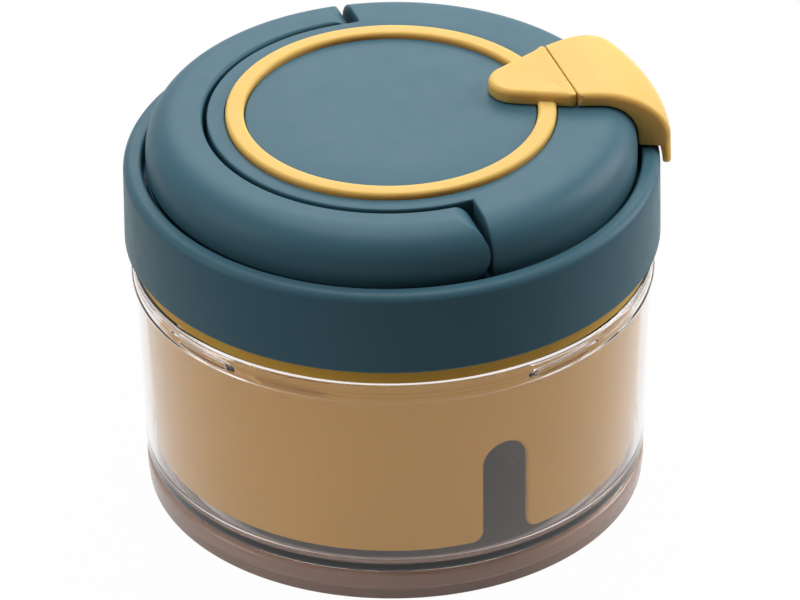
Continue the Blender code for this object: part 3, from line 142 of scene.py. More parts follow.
class ChopperSleeve(bpy.types.PropertyGroup):
    radius: size("Radius", 0.0565, "Outside of the sleeve's wall")
    wall: size("Wall", 0.0018, "Thickness of the sleeve's wall")
    bottom_z: size("Bottom", node_bottom("inner_sleeve"), "Lower edge of the sleeve")
    flange_radius: size("Flange radius", node_radius("inner_sleeve"), "Outside of the flange")
    flange_z: size("Flange top", node_top("inner_sleeve"), "Top of the flange")
    flange: size("Flange thickness", 0.0037, "Thickness of the flange")
    notch_width: size("Notch width", 0.0112, "Width of the arched notch")
    notch_top: size("Notch top", 0.0385, "Crown of the arched notch")
    notch_flare: size("Notch flare", 0.0030, "Radius at the foot of the notch")
    notch_turn: FloatProperty(name="Notch turn", description="Direction of the notch",
                              default=math.radians(-81.0), subtype="ANGLE")


class ChopperLid(bpy.types.PropertyGroup):
    top_z: size("Top height", node_top("top_cover"), "Level of the disc and the shoulder's flat")
    collar_radius: size("Collar radius", node_radius("collar"), "Outside of the collar at its foot")
    collar_top_radius: size("Collar top radius", 0.0627, "Outside of the collar at its top")
    collar_top: size("Collar top", node_top("collar"), "Top of the collar")
    collar_bottom: size("Collar bottom", node_bottom("collar"), "Lower edge of the collar")
    collar_inner: size("Collar inner radius", 0.0584, "Inside of the collar over its ledge")
    shoulder_flat: size("Shoulder flat", 0.0480, "Radius at which the shoulder starts to fall")
    shoulder_radius: size("Shoulder radius", 0.0574, "Outside of the shoulder")
    shoulder_drop: size("Shoulder drop", 0.0095, "Height of the shoulder's curve")
    shoulder_power: FloatProperty(name="Shoulder power", default=2.35, min=1.5, max=5.0,
                                  description="Exponent of the shoulder's superellipse")
    channel_radius: size("Channel radius", 0.0429, "Inner wall of the handle's channel")
    channel_floor: size("Channel floor", 0.0833, "Floor of the handle's channel")
    channel_end: size("Channel end", 0.0058, "Plane at which the fixed shoulder starts")
    ring_inner: size("Ring inner radius", 0.0342, "Inside of the accent ring")
    ring_outer: size("Ring outer radius", 0.0385, "Outside of the accent ring")
    ring_top: size("Ring top", node_top("accent_ring"), "Top of the accent ring")
    edge: size("Edge radius", 0.0005, "Rounding of the cover's edges")


class ChopperHandle(bpy.types.PropertyGroup):
    inner_radius: size("Inner radius", 0.0439, "Inside of the half ring")
    axis_x: size("Axis X", -0.0010, "Pivot axis, from the lid's axis")
    end_radius: size("End radius", 0.0062, "Radius of the rounded ends")
    wall: size("Wall", 0.0026, "Wall round the hollow underside")
    edge: size("Edge radius", 0.0009, "Rounding of the inner top edge")


class ChopperTab(bpy.types.PropertyGroup):
    top_z: size("Top height", node_top("pull_tab"), "Level of the tab and the dock")
    split_x: size("Split", 0.0417, "Plane between the dock and the tab")
    half_width: size("Half width", 0.0124, "Half the width at the split")
    lip_half_width: size("Lip half width", 0.0188, "Half the width where the lip starts")
    flat_radius: size("Flat radius", 0.0480, "Radius at which the tab starts to fall")
    outer_radius: size("Outer radius", 0.0653, "Outside of the lip")
    drop: size("Drop", 0.0120, "Height of the tab's curve")
    lip_z: size("Lip bottom", node_bottom("pull_tab"), "Lowest point of the lip")
    lip: size("Lip thickness", 0.0020, "Thickness of the lip")
    edge: size("Edge radius", 0.0013, "Rounding of the top edges")
    split_edge: size("Split edge radius", 0.0003, "Rounding of the top edges at the split")
    corner: size("Corner radius", 0.0010, "Rounding of the corners in plan and at the lip")
    dimple: size("Dimple", 0.0002, "Depth of the shallow dimple in the dock")
    flare_rise: size("Flare height", 0.0053, "Height over which the lip widens")
    flare: FloatProperty(name="Flare", default=0.10, min=0, max=0.5,
                         description="Share by which the lip widens")
    tip_x: size("Dock tip centre", 0.0308, "Centre of the dock's round tip")
    tip_radius: size("Dock tip radius", 0.0066, "Radius of the dock's round tip")


class ChopperFinish(bpy.types.PropertyGroup):
    teal: colour("Teal", (0.044, 0.110, 0.145), "Lid, collar and handle")
    yellow: colour("Yellow", (0.670, 0.425, 0.115), "Ring, dock and pull tab")
    sleeve: colour("Sleeve", (0.600, 0.335, 0.050), "Inner sleeve")
    clear: colour("Clear", (0.950, 0.905, 0.890), "Bowl")
    foot: colour("Foot", (0.640, 0.460, 0.380), "Foot ring")
    floor: colour("Floor", (0.400, 0.400, 0.400), "Studio floor")


# Numpy surfaces


def rounded(corners, closed=True, count=6):
    """Profile with its corners rounded; each corner is (radius, height, fillet).

    A fillet's arc starts and ends fillet / tan(half the corner's angle) from the corner along its two sides
    and turns about a centre on the bisector, fillet / sin(half the angle) away, in even steps.
    """
    data = np.array(corners, float)
    points, fillet = data[:, :2], data[:, 2:3]
    back = np.roll(points, 1, axis=0) - points
    ahead = np.roll(points, -1, axis=0) - points
    back /= np.linalg.norm(back, axis=1, keepdims=True)
    ahead /= np.linalg.norm(ahead, axis=1, keepdims=True)
    half = np.arccos(np.clip(np.sum(back * ahead, axis=1, keepdims=True), -1, 1)) / 2
    if not closed:
        fillet[[0, -1]] = 0.0
    straight = half > math.pi / 2 - 1e-3
    fillet = np.where(straight, 0.0, fillet)
    half = np.where(fillet > 0, half, math.pi / 4)
    bisector = back + ahead
    bisector /= np.maximum(np.linalg.norm(bisector, axis=1, keepdims=True), 1e-9)
    centre = points + bisector * fillet / np.sin(half)
    first = points + back * fillet / np.tan(half) - centre
    last = points + ahead * fillet / np.tan(half) - centre
    turn = (math.pi - 2 * half)[:, None]
    share = np.linspace(0, 1, count + 1)[None, :, None]
    spread = np.sin((1 - share) * turn) * first[:, None] + np.sin(share * turn) * last[:, None]
    arcs = centre[:, None] + spread / np.sin(turn)
    arcs = np.where(fillet[:, None] > 0, arcs, points[:, None]).reshape(-1, 2)
    step = np.linalg.norm(arcs - np.roll(arcs, 1, axis=0), axis=1)
    fresh = step > 1e-8
    fresh[0] = fresh[0] or not closed
    return arcs[fresh]


def superellipse(centre, radius, low, height, power, angles):
    """Points at centre + radius * cos(a)^(2/power), low + height * sin(a)^(2/power)."""
    c, s = np.clip(np.cos(angles), 0, 1), np.clip(np.sin(angles), 0, 1)
    return np.stack([centre + radius * c ** (2 / power), low + height * s ** (2 / power)], axis=1)


def around(radius, height, angle):
    """Cylinder coordinates to points: radius * cos(angle), radius * sin(angle), height."""
    radius, height, angle = np.broadcast_arrays(radius, height, angle)
    return np.stack([radius * np.cos(angle), radius * np.sin(angle), height], axis=-1)


def swept(profile, angles):
    """A profile of radius and height, set at each angle about Z."""
    return around(profile[None, :, 0], profile[None, :, 1], angles[:, None])


def smoothstep(x):
    """3 x^2 - 2 x^3 between 0 and 1."""
    x = np.clip(x, 0, 1)
    return x * x * (3 - 2 * x)


def bayonet(angles, turn, half):
    """Four windows a quarter turn apart: 1 over each one's span, and falling to 0 round its ends."""
    centre = np.mod(angles - turn + TAU / 8, TAU / 4) - TAU / 8
    return smoothstep((half - np.abs(centre)) / WINDOW_FADE + 0.5)


def set_back(fillet, depth):
    """How far a quarter circle stands back at a depth past its start: r - sqrt(r^2 - depth^2)."""
    return fillet - np.sqrt(fillet ** 2 - depth ** 2)


def resample(points, count):
    """Even steps along a polyline."""
    step = np.concatenate([[0], np.cumsum(np.linalg.norm(np.diff(points, axis=0), axis=1))])
    place = np.linspace(0, step[-1], count)
    return np.stack([np.interp(place, step, points[:, i]) for i in (0, 1)], axis=1)


def quads(grid, wrap_rows, wrap_columns, offset):
    """Corner indices of a grid's quads; a wrapped side is joined to its start."""
    m, n = grid.shape[:2]
    index = offset + np.arange(m * n).reshape(m, n)
    if wrap_rows:
        index = np.concatenate([index, index[:1]], axis=0)
    if wrap_columns:
        index = np.concatenate([index, index[:, :1]], axis=1)
    return np.stack([index[:-1, :-1], index[1:, :-1], index[1:, 1:], index[:-1, 1:]], axis=-1).reshape(-1, 4)


def surface(name, patches):
    """One closed mesh from grids: points that round to the same micrometre, or lie within 1.5 of one
    another, are merged, quads with a side of no length become triangles, and faces are turned outwards."""
    faces, points, offset = [], [], 0
    for grid, wrap_rows, wrap_columns in patches:
        faces.append(quads(grid, wrap_rows, wrap_columns, offset))
        points.append(grid.reshape(-1, 3))
        offset += grid.shape[0] * grid.shape[1]
    points, faces = np.concatenate(points), np.concatenate(faces)
    _, first, merged = np.unique(np.round(points * 1e6).astype(np.int64), axis=0,
                                 return_index=True, return_inverse=True)
    faces = merged.reshape(-1)[faces]
    apart = faces != np.roll(faces, -1, axis=1)
    total = apart.sum(axis=1)
    whole = total >= 3
    faces, apart, total = faces[whole], apart[whole], total[whole]
    mesh = bpy.data.meshes.new(name)
    mesh.vertices.add(len(first))
    mesh.vertices.foreach_set("co", points[first].astype(np.float32).ravel())
    mesh.loops.add(int(total.sum()))
    mesh.loops.foreach_set("vertex_index", faces[apart].astype(np.int32))
    mesh.polygons.add(len(total))
    mesh.polygons.foreach_set("loop_start", np.concatenate([[0], np.cumsum(total)[:-1]]).astype(np.int32))
    mesh.update(calc_edges=True)
    mesh.validate()
    bm = bmesh.new()
    bm.from_mesh(mesh)
    bmesh.ops.remove_doubles(bm, verts=bm.verts, dist=1.5e-6)
    bmesh.ops.recalc_face_normals(bm, faces=bm.faces)
    open_edges = sum(1 for edge in bm.edges if len(edge.link_faces) != 2)
    bm.to_mesh(mesh)
    bm.free()
    if open_edges:
        print(f"{name}: {open_edges} open edges")
    mesh.shade_smooth()
    mesh.set_sharp_from_angle(angle=SHARP)
    obj = bpy.data.objects.new(name, mesh)
    bpy.context.scene.collection.objects.link(obj)
    return obj


def lathe(name, corners, steps, count=6):
    """A closed section with rounded corners, turned about Z: column k stands at k * 2 pi / steps."""
    section = rounded(corners, count=count)
    return surface(name, [(swept(section, np.arange(steps) * TAU / steps), True, True)])


def mount(obj, body, slot, finish, *nodes):
    """Gives a piece its finish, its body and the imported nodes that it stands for."""
    obj.data.materials.append(finishes()[finish])
    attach(obj, body)
    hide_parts(*nodes)


# Materials


class Nodes:
    """Short hand for a material's node tree."""

    def __init__(self, name):
        self.material = bpy.data.materials.new(name)
        self.material.use_nodes = True
        self.tree = self.material.node_tree
        self.shader = self.tree.nodes["Principled BSDF"]
        self.place = self.add("ShaderNodeTexCoord").outputs["Object"]

    def add(self, kind, **settings):
        node = self.tree.nodes.new(kind)
        for key, value in settings.items():
            setattr(node, key, value)
        return node

    def link(self, source, target):
        self.tree.links.new(source, target)

    def noise(self, scale, detail=2.0, roughness=0.5, stretch=None):
        source = self.place
        if stretch is not None:
            mapping = self.add("ShaderNodeMapping")
            mapping.inputs["Scale"].default_value = stretch
            self.link(source, mapping.inputs["Vector"])
            source = mapping.outputs["Vector"]
        node = self.add("ShaderNodeTexNoise")
        node.inputs["Scale"].default_value = scale
        node.inputs["Detail"].default_value = detail
        node.inputs["Roughness"].default_value = roughness
        self.link(source, node.inputs["Vector"])
        return node.outputs["Fac"]

    def ramp(self, factor, low, high):
        node = self.add("ShaderNodeValToRGB")
        for stop, place, value in zip(node.color_ramp.elements, (0.35, 0.65), (low, high)):
            stop.position = place
            stop.color = (*value, 1.0)
        self.link(factor, node.inputs["Fac"])
        return node.outputs["Color"]

    def span(self, factor, low, high, start=0.3, end=0.7):
        node = self.add("ShaderNodeMapRange")
        for key, value in (("From Min", start), ("From Max", end), ("To Min", low), ("To Max", high)):
            node.inputs[key].default_value = value
        self.link(factor, node.inputs["Value"])
        return node.outputs["Result"]

    def bump(self, height, strength, distance):
        node = self.add("ShaderNodeBump")
        node.inputs["Strength"].default_value = strength
        node.inputs["Distance"].default_value = distance
        self.link(height, node.inputs["Height"])
        self.link(node.outputs["Normal"], self.shader.inputs["Normal"])

    def values(self, **sockets):
        for key, value in sockets.items():
            self.shader.inputs[key.replace("_", " ")].default_value = value


def tone(rgb, factor):
    """A colour made lighter or darker by a factor."""
    return tuple(min(1.0, channel * factor) for channel in rgb)


def moulded(name, rgb, roughness, depth=0.000012, **sockets):
    """Moulded plastic: faint clouding of the colour, spark eroded grain in the gloss and in the bump."""
    n = Nodes(name)
    spread, play = 0.02, 0.035
    n.link(n.ramp(n.noise(38.0, 3.0), tone(rgb, 1 - spread), tone(rgb, 1 + spread)),
           n.shader.inputs["Base Color"])
    n.link(n.span(n.noise(210.0, 4.0), roughness - play, roughness + play), n.shader.inputs["Roughness"])
    n.bump(n.noise(2600.0, 2.0, 0.6), 0.25, depth)
    n.values(**sockets)
    return n.material


def clear_plastic(name, rgb, roughness, ior=1.46, clarity=1.0):
    """Clear moulded plastic with a faint flow ripple in the wall."""
    n = Nodes(name)
    n.link(n.ramp(n.noise(20.0, 2.0), tone(rgb, 0.99), rgb), n.shader.inputs["Base Color"])
    n.link(n.span(n.noise(90.0, 3.0), roughness, roughness + 0.02), n.shader.inputs["Roughness"])
    n.bump(n.noise(45.0, 1.0, stretch=(1.0, 1.0, 0.25)), 0.10, 0.00008)
    n.values(Transmission_Weight=clarity, IOR=ior)
    return n.material


def ground_steel(name, rgb, roughness, stretch):
    """Ground steel: fine scratches that run across the stretched direction."""
    n = Nodes(name)
    lines = n.noise(900.0, 3.0, 0.6, stretch)
    n.link(n.ramp(lines, tone(rgb, 0.90), tone(rgb, 1.08)), n.shader.inputs["Base Color"])
    n.link(n.span(lines, roughness - 0.05, roughness + 0.08), n.shader.inputs["Roughness"])
    n.bump(lines, 0.12, 0.000010)
    n.values(Metallic=1.0)
    return n.material


def finishes():
    """The finishes, made once and kept by name."""
    kept = bpy.data.materials.get
    if kept("teal_moulded") is None:
        f = bpy.context.scene.chopper_finish
        moulded("teal_moulded", f.teal, 0.42, Specular_IOR_Level=0.12)
        moulded("yellow_moulded", f.yellow, 0.42, Specular_IOR_Level=0.14,
                Subsurface_Weight=0.60, Subsurface_Radius=(1.0, 0.75, 0.50), Subsurface_Scale=0.004)
        moulded("sleeve_moulded", f.sleeve, 0.45, depth=0.000003, Specular_IOR_Level=0.12,
                Subsurface_Weight=0.35, Subsurface_Radius=(1.0, 0.50, 0.15), Subsurface_Scale=0.003)
        moulded("white_moulded", (0.72, 0.72, 0.70), 0.45)
        moulded("silicone_moulded", (0.66, 0.64, 0.60), 0.50)
        clear_plastic("bowl_clear", f.clear, 0.02)
        clear_plastic("foot_smoke", f.foot, 0.18, 1.42, 0.45)
        ground_steel("blade_steel", (0.58, 0.58, 0.60), 0.24, (1.0, 0.05, 1.0))
        ground_steel("turned_steel", (0.60, 0.60, 0.62), 0.20, (0.15, 0.15, 1.0))
        ground_steel("spring_steel", (0.26, 0.27, 0.30), 0.30, (0.1, 0.1, 1.0))
    return bpy.data.materials


# Pieces


class CHOPPER_OT_bowl(bpy.types.Operator):
    """Builds the clear bowl, the foot ring and the seal"""
    bl_idname = "chopper.bowl"
    bl_label = "Bowl and Foot"

    def execute(self, context):
        bowl_piece(context.scene.chopper_bowl, context.scene.chopper_sleeve)
        foot_piece(context.scene.chopper_bowl)
        seal_piece(context.scene.chopper_bowl)
        return {"FINISHED"}


def bowl_piece(b, s):
    """Turned wall whose inside radius steps in to four bayonet tabs: the radius at a height is the wall's
    plus the tab's depth times a window that is 1 over each tab's span and falls to 0 at its ends."""
    rim_inner, tab_inner = b.top_radius - b.wall, s.radius + TAB_PLAY
    low_inner = b.base_radius - b.wall + 0.0002
    boss_top = b.floor_z + BOSS_HEIGHT
    tab_low, tab_high = b.band_z - TAB_BELOW, b.band_z + TAB_ABOVE
    corners = [(0.0, boss_top, 0), (b.boss_radius, boss_top, 0.0006),
               (b.boss_radius + 0.0006, b.floor_z, 0.0008),
               (low_inner, b.floor_z, 0.004), (rim_inner, tab_low - 0.0003, 0)]
    inside = rounded(corners, closed=False, count=10)
    share = np.linspace(0, 1, 15)
    swell = smoothstep(share / 0.45) * smoothstep((1 - share) / 0.45)
    tab_radius = rim_inner + (tab_inner - rim_inner) * swell
    wall_rows = np.stack([np.full(len(share), rim_inner), tab_low + (tab_high - tab_low) * share], axis=1)
    corners = [(rim_inner, tab_high + 0.0004, 0), (rim_inner, b.rim_z, 0.0006),
               (b.rim_radius, b.rim_z, 0.0011),
               (b.rim_radius, b.band_z + 0.0011, 0.0003), (b.rim_radius + b.bead, b.band_z + 0.0007, 0.0003),
               (b.rim_radius + b.bead, b.band_z, 0.0003), (b.top_radius, b.band_z - 0.0001, 0.0002),
               (b.base_radius, b.base_z, 0.0021), (b.skirt_radius, b.base_z, 0.0004),
               (b.skirt_radius, SKIRT_LOW, 0.0005), (b.skirt_radius - b.skirt_wall, SKIRT_LOW, 0.0005),
               (b.skirt_radius - b.skirt_wall, b.floor_z - b.floor, 0.0004), (0.0, b.floor_z - b.floor, 0)]
    outside = rounded(corners, closed=False, count=8)
    profile = np.concatenate([inside, wall_rows, outside])
    angles = np.arange(b.steps * 2) * TAU / (b.steps * 2)
    window = bayonet(angles, TAB_TURN, TAB_HALF)
    radius = np.repeat(profile[None, :, 0], len(angles), axis=0)
    rows = len(inside) + np.arange(len(share))
    radius[:, rows] += (tab_radius - rim_inner)[None] * window[:, None]
    grid = around(radius, profile[None, :, 1], angles[:, None])
    obj = surface("clear_bowl", [(grid, True, False)])
    mount(obj, "bowl", "clear_plastic", "bowl_clear", "bowl")


def foot_piece(b):
    """Turned U section that grips the bowl's skirt, with a fine step half way up its outside."""
    out, mid = b.foot_radius, b.foot_height * 0.5
    groove_out, groove_in = b.skirt_radius + SEAT, b.skirt_radius - b.skirt_wall - SEAT
    inner_top = b.floor_z - b.floor - SEAT
    corners = [(b.foot_inner, 0.0, 0.0009), (b.foot_inner, inner_top, 0.0006), (groove_in, inner_top, 0.0002),
               (groove_in, FOOT_GROOVE, 0.0003), (groove_out, FOOT_GROOVE, 0.0003),
               (groove_out, b.foot_height, 0.0003), (out, b.foot_height, 0.0008), (out, mid, 0.0002),
               (out - FOOT_STEP, mid - 0.0004, 0.0002), (out - FOOT_STEP, 0.0, 0.0006)]
    obj = lathe("smoke_foot", corners, b.steps)
    mount(obj, "bowl", "smoke_elastomer", "foot_smoke", "foot_ring")


def seal_piece(b):
    """Turned rounded rectangle."""
    low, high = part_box("seal_ring")
    inner, outer, edge = b.seal_inner, b.seal_outer, 0.0003
    corners = [(inner, low[2], edge), (inner, high[2], edge), (outer, high[2], edge), (outer, low[2], edge)]
    obj = lathe("soft_seal", corners, b.steps)
    mount(obj, "seal", "silicone", "silicone_moulded", "seal_ring")


class CHOPPER_OT_sleeve(bpy.types.Operator):
    """Builds the inner sleeve with its flange, lugs and arched notch"""
    bl_idname = "chopper.sleeve"
    bl_label = "Inner Sleeve"

    def execute(self, context):
        sleeve_piece(context.scene.chopper_sleeve, context.scene.chopper_bowl)
        return {"FINISHED"}


def notch_path(s):
    """Half of the sleeve's lower edge on the unrolled wall, from the notch's crown to its flare: a quarter
    circle of half the width, a straight side and a quarter circle of the flare that ends on the lower edge.

    Returns distance from the crown line, height, and the edge's outward direction, all as arrays."""
    half, flare = s.notch_width / 2, s.notch_flare
    crown = np.linspace(math.pi / 2, 0, 15)
    side = np.linspace(s.notch_top - half, s.bottom_z + flare, 12)[1:-1]
    foot = np.linspace(math.pi, 1.5 * math.pi, 10)
    x = np.concatenate([half * np.cos(crown), np.full(len(side), half), half + flare + flare * np.cos(foot)])
    z = np.concatenate([s.notch_top - half + half * np.sin(crown), side,
                        s.bottom_z + flare + flare * np.sin(foot)])
    nx = np.concatenate([-np.cos(crown), np.full(len(side), -1.0), np.cos(foot)])
    nz = np.concatenate([-np.sin(crown), np.zeros(len(side)), np.sin(foot)])
    return x, z, nx, nz


def sleeve_piece(s, b):
    """Wall whose lower edge follows a path along the circle and round the notch; above the notch the
    columns spread to even angles. The edge is a half circle across the wall, and lugs stand out by a
    window in angle."""
    x, z, nx, nz = notch_path(s)
    reach = x[-1] + 0.006
    spread = np.linspace(0, reach, len(x) + 4)[:len(x)]
    half_x, half_top, edge_nx = (np.concatenate([-side[:0:-1], side]) for side in (x, spread, nx))
    edge_z, edge_nz = (np.concatenate([side[:0:-1], side]) for side in (z, nz))
    edge_nx[len(x) - 1], edge_nz[len(x) - 1] = 0.0, -1.0
    edge_nz = -np.abs(edge_nz)
    plain = np.linspace(reach, TAU * s.radius - reach, 220) / s.radius
    notch = np.stack([half_x / s.radius, half_top / s.radius, edge_z, edge_nx, edge_nz])
    rest = np.array([(angle, angle, s.bottom_z, 0.0, -1.0) for angle in plain]).T
    low_angle, top_angle, edge, out_x, out_z = np.concatenate([notch, rest], axis=1)
    low_angle, top_angle = low_angle + s.notch_turn, top_angle + s.notch_turn
    rho = s.wall / 2
    middle = s.radius - rho
    in_angle = low_angle - out_x * rho / s.radius
    in_z = edge - out_z * rho
    blend_z = s.notch_top + 0.008
    share = np.linspace(1, 0, 25)[None]
    wall_z = in_z[:, None] + (blend_z - in_z)[:, None] * share
    wall_angle = in_angle[:, None] + (top_angle - in_angle)[:, None] * smoothstep(share)
    turn = np.linspace(math.pi / 2, -math.pi / 2, 9)[None]
    round_r = middle + rho * np.sin(turn) + 0 * in_z[:, None]
    round_z = in_z[:, None] + out_z[:, None] * rho * np.cos(turn)
    round_angle = in_angle[:, None] + out_x[:, None] * rho * np.cos(turn) / s.radius
    inner = s.radius - s.wall
    under, groove_z = s.flange_z - s.flange, node_top("seal_ring") + SEAT
    groove_in, groove_out = b.seal_inner - SEAT, b.seal_outer + SEAT
    lug_top, lug_low = b.band_z - SEAT, b.band_z - LUG_BELOW
    lug_radius = b.top_radius - b.wall - LUG_PLAY
    corners = [(inner, s.flange_z - 0.006, 0), (inner, s.flange_z, 0.0003),
               (s.flange_radius, s.flange_z, 0.0005), (s.flange_radius, under, 0.0005),
               (groove_out, under, 0.0002), (groove_out, groove_z, 0), (groove_in, groove_z, 0),
               (groove_in, under, 0.0002), (s.radius, under, 0.0004), (s.radius, lug_top + 0.0004, 0)]
    top = rounded(corners, closed=False)
    lug_rows = np.array([[s.radius, lug_top + 0.0002], [lug_radius - 0.0003, lug_top],
                         [lug_radius, lug_top - 0.0003], [lug_radius, lug_low + 0.0003],
                         [lug_radius - 0.0003, lug_low], [s.radius, lug_low - 0.0002]])
    window = bayonet(top_angle, LUG_TURN, LUG_HALF)
    lug_r = s.radius + (lug_rows[None, :, 0] - s.radius) * window[:, None]
    flat = np.ones((len(edge), 1))
    rows = [around(flat * top[None, :, 0], flat * top[None, :, 1], top_angle[:, None]),
            around(lug_r, flat * lug_rows[None, :, 1], top_angle[:, None]),
            around(flat * s.radius, wall_z, wall_angle),
            around(round_r[:, 1:-1], round_z[:, 1:-1], round_angle[:, 1:-1]),
            around(flat * inner, wall_z[:, ::-1], wall_angle[:, ::-1])]
    obj = surface("tan_sleeve", [(np.concatenate(rows, axis=1), True, True)])
    mount(obj, "lid", "sleeve_plastic", "sleeve_moulded", "inner_sleeve")


class CHOPPER_OT_lid(bpy.types.Operator):
    """Builds the collar, the top cover with its handle channel and the accent ring"""
    bl_idname = "chopper.lid"
    bl_label = "Lid"

    def execute(self, context):
        scene = context.scene
        collar_piece(scene.chopper_lid, scene.chopper_bowl)
        cover_piece(scene.chopper_lid)
        ring_piece(scene.chopper_lid, scene.chopper_bowl)
        return {"FINISHED"}


def collar_piece(l, b):
    """Turned wall with a rounded top and the ledge that carries the cover."""
    corners = [(SKIRT_INNER, l.collar_bottom, 0.0003), (SKIRT_INNER, LEDGE_LOW, 0.0003),
               (LEDGE_INNER, LEDGE_LOW, 0.0002), (LEDGE_INNER, LEDGE_TOP, 0.0002),
               (l.collar_inner, LEDGE_TOP, 0.0005), (l.collar_inner, l.collar_top, 0.0008),
               (l.collar_top_radius, l.collar_top, 0.0022), (l.collar_radius, l.collar_bottom, 0.0007)]
    obj = lathe("teal_collar", corners, b.steps, count=10)
    mount(obj, "lid", "teal_plastic", "teal_moulded", "collar")


def shoulder_rows(l, offset=0.0, count=22):
    """The shoulder's superellipse from its foot to its flat."""
    return superellipse(l.shoulder_flat, l.shoulder_radius - l.shoulder_flat + offset,
                        l.top_z - l.shoulder_drop, l.shoulder_drop + offset, l.shoulder_power,
                        np.linspace(0, math.pi / 2, count))


def opposite(l, share):
    """The other coordinate's share on the shoulder's superellipse: (1 - share^power)^(1 / power)."""
    return np.clip(1 - share ** l.shoulder_power, 0, 1) ** (1 / l.shoulder_power)


def profile_normals(profile):
    """Unit normals of an open profile, to the right of its direction."""
    along = np.gradient(profile, axis=0)
    along /= np.linalg.norm(along, axis=1, keepdims=True)
    return np.stack([along[:, 1], -along[:, 0]], axis=1)


def cover_piece(l):
    """Disc, fixed shoulder and channel. A ring at radius r runs on the fixed side between the angles whose
    cosine is end / r, so every ring stops on one plane; there the surface turns down by a quarter circle."""
    floor, end, wall = l.channel_floor, l.channel_end, l.channel_radius
    flank = np.array([[l.shoulder_radius, z] for z in np.linspace(floor, l.top_z - l.shoulder_drop, 5)[:-1]])
    flat = np.array([[r, l.top_z] for r in np.linspace(l.shoulder_flat, wall, 7)[1:]])
    profile = np.concatenate([flank, shoulder_rows(l), flat])
    normal = profile_normals(profile)
    rho = l.edge * np.clip(np.minimum((profile[:, 1] - floor) / 0.002, (profile[:, 0] - wall) / 0.001), 0, 1)
    t = np.concatenate([np.linspace(-1, -0.07, 72)[:-1], np.linspace(-0.07, 0.07, 33),
                        np.linspace(0.07, 1, 72)[1:]])
    limit = np.arccos(np.clip((end + rho) / profile[:, 0], -1, 1))
    shoulder = around(profile[None, :, 0], profile[None, :, 1], t[:, None] * limit[None])
    turn = np.linspace(0, math.pi / 2, 6)[1:, None]
    down = profile[None] - normal[None] * (rho[None] * (1 - np.cos(turn)))[..., None]
    x = end + rho[None] * (1 - np.sin(turn))
    bend = around(down[..., 0], down[..., 1], np.arccos(np.clip(x / down[..., 0], -1, 1)))
    depth = np.linspace(0, 1, 12)[1:, None]
    face_z = down[-1, None, :, 1] + (floor - down[-1, None, :, 1]) * depth
    face_r = down[-1, None, :, 0] + 0 * depth
    face_y = np.sqrt(face_r ** 2 - end ** 2)
    face = np.stack([0 * face_y + end, face_y, face_z], axis=-1)
    half = np.concatenate([bend, face], axis=0)
    mirrored = half[::-1] * np.array([1.0, -1.0, 1.0])
    fixed = np.concatenate([mirrored, shoulder, half], axis=0)

    outer_limit, inner_limit = math.acos(end / l.shoulder_radius), math.acos(end / wall)
    u = np.linspace(0, 1, 121)
    wall_z = l.top_z + (floor - l.top_z) * np.concatenate([[0], depth[:, 0]])
    channel_angle = inner_limit + u * (TAU - 2 * inner_limit)
    fade = np.clip(np.minimum(u, 1 - u) * 60, 0, 1)
    drop = np.linspace(0, math.pi / 2, 7)[:-1]
    round_r = wall - l.edge * fade[:, None] * (1 - np.sin(drop))[None]
    round_z = l.top_z - l.edge * fade[:, None] * (1 - np.cos(drop))[None]
    rows_z = np.concatenate([round_z, np.repeat(wall_z[None, 1:], len(u), 0)], axis=1)
    rows_r = np.concatenate([round_r, np.full((len(u), len(wall_z) - 1), wall)], axis=1)
    channel_wall = around(rows_r, rows_z, channel_angle[:, None])
    floor_r = down[-1, ::-1, 0]
    floor_limit = np.arccos(end / floor_r)
    floor_angle = floor_limit[None] + u[:, None] * (TAU - 2 * floor_limit[None])
    channel_floor = around(floor_r[None], floor, floor_angle)

    groove, ring_in, ring_out = l.top_z - RING_GROOVE, l.ring_inner - SEAT, l.ring_outer + SEAT
    disc = rounded([(wall - l.edge, l.top_z, 0), (ring_out, l.top_z, 0.0002), (ring_out, groove, 0.0001),
                    (ring_in, groove, 0.0001), (ring_in, l.top_z, 0.0002), (0.02, l.top_z, 0),
                    (0.0, l.top_z, 0)], closed=False, count=4)
    fixed_disc_angle = t * inner_limit
    disc_fixed_edge = around(np.array([[wall, wall - l.edge]]), l.top_z, fixed_disc_angle[:, None])
    disc_fixed, disc_channel = swept(disc, fixed_disc_angle), swept(disc, channel_angle)
    start = around(round_r[:, :1], round_z[:, :1], channel_angle[:, None])
    edge_channel = np.concatenate([start, around(wall - l.edge, l.top_z, channel_angle[:, None])], axis=1)

    ceiling = l.top_z - COVER_WALL
    under = rounded([(l.shoulder_radius, floor, 0), (l.shoulder_radius, COVER_LOW, 0.0004),
                     (CAVITY_RADIUS, COVER_LOW, 0.0004), (CAVITY_RADIUS, ceiling, 0.0008),
                     (POST_RADIUS, ceiling, 0.0008), (POST_RADIUS, POST_LOW, 0.0003), (0.0, POST_LOW, 0)],
                    closed=False, count=4)
    under_angle = np.concatenate([t * outer_limit, (outer_limit + u * (TAU - 2 * outer_limit))[1:-1]])
    open_grids = (fixed, channel_wall, channel_floor, disc_fixed_edge, disc_fixed, disc_channel, edge_channel)
    obj = surface("teal_cover", [(grid, False, False) for grid in open_grids]
                  + [(swept(under, under_angle), True, False)])
    mount(obj, "lid", "teal_plastic", "teal_moulded", "top_cover")


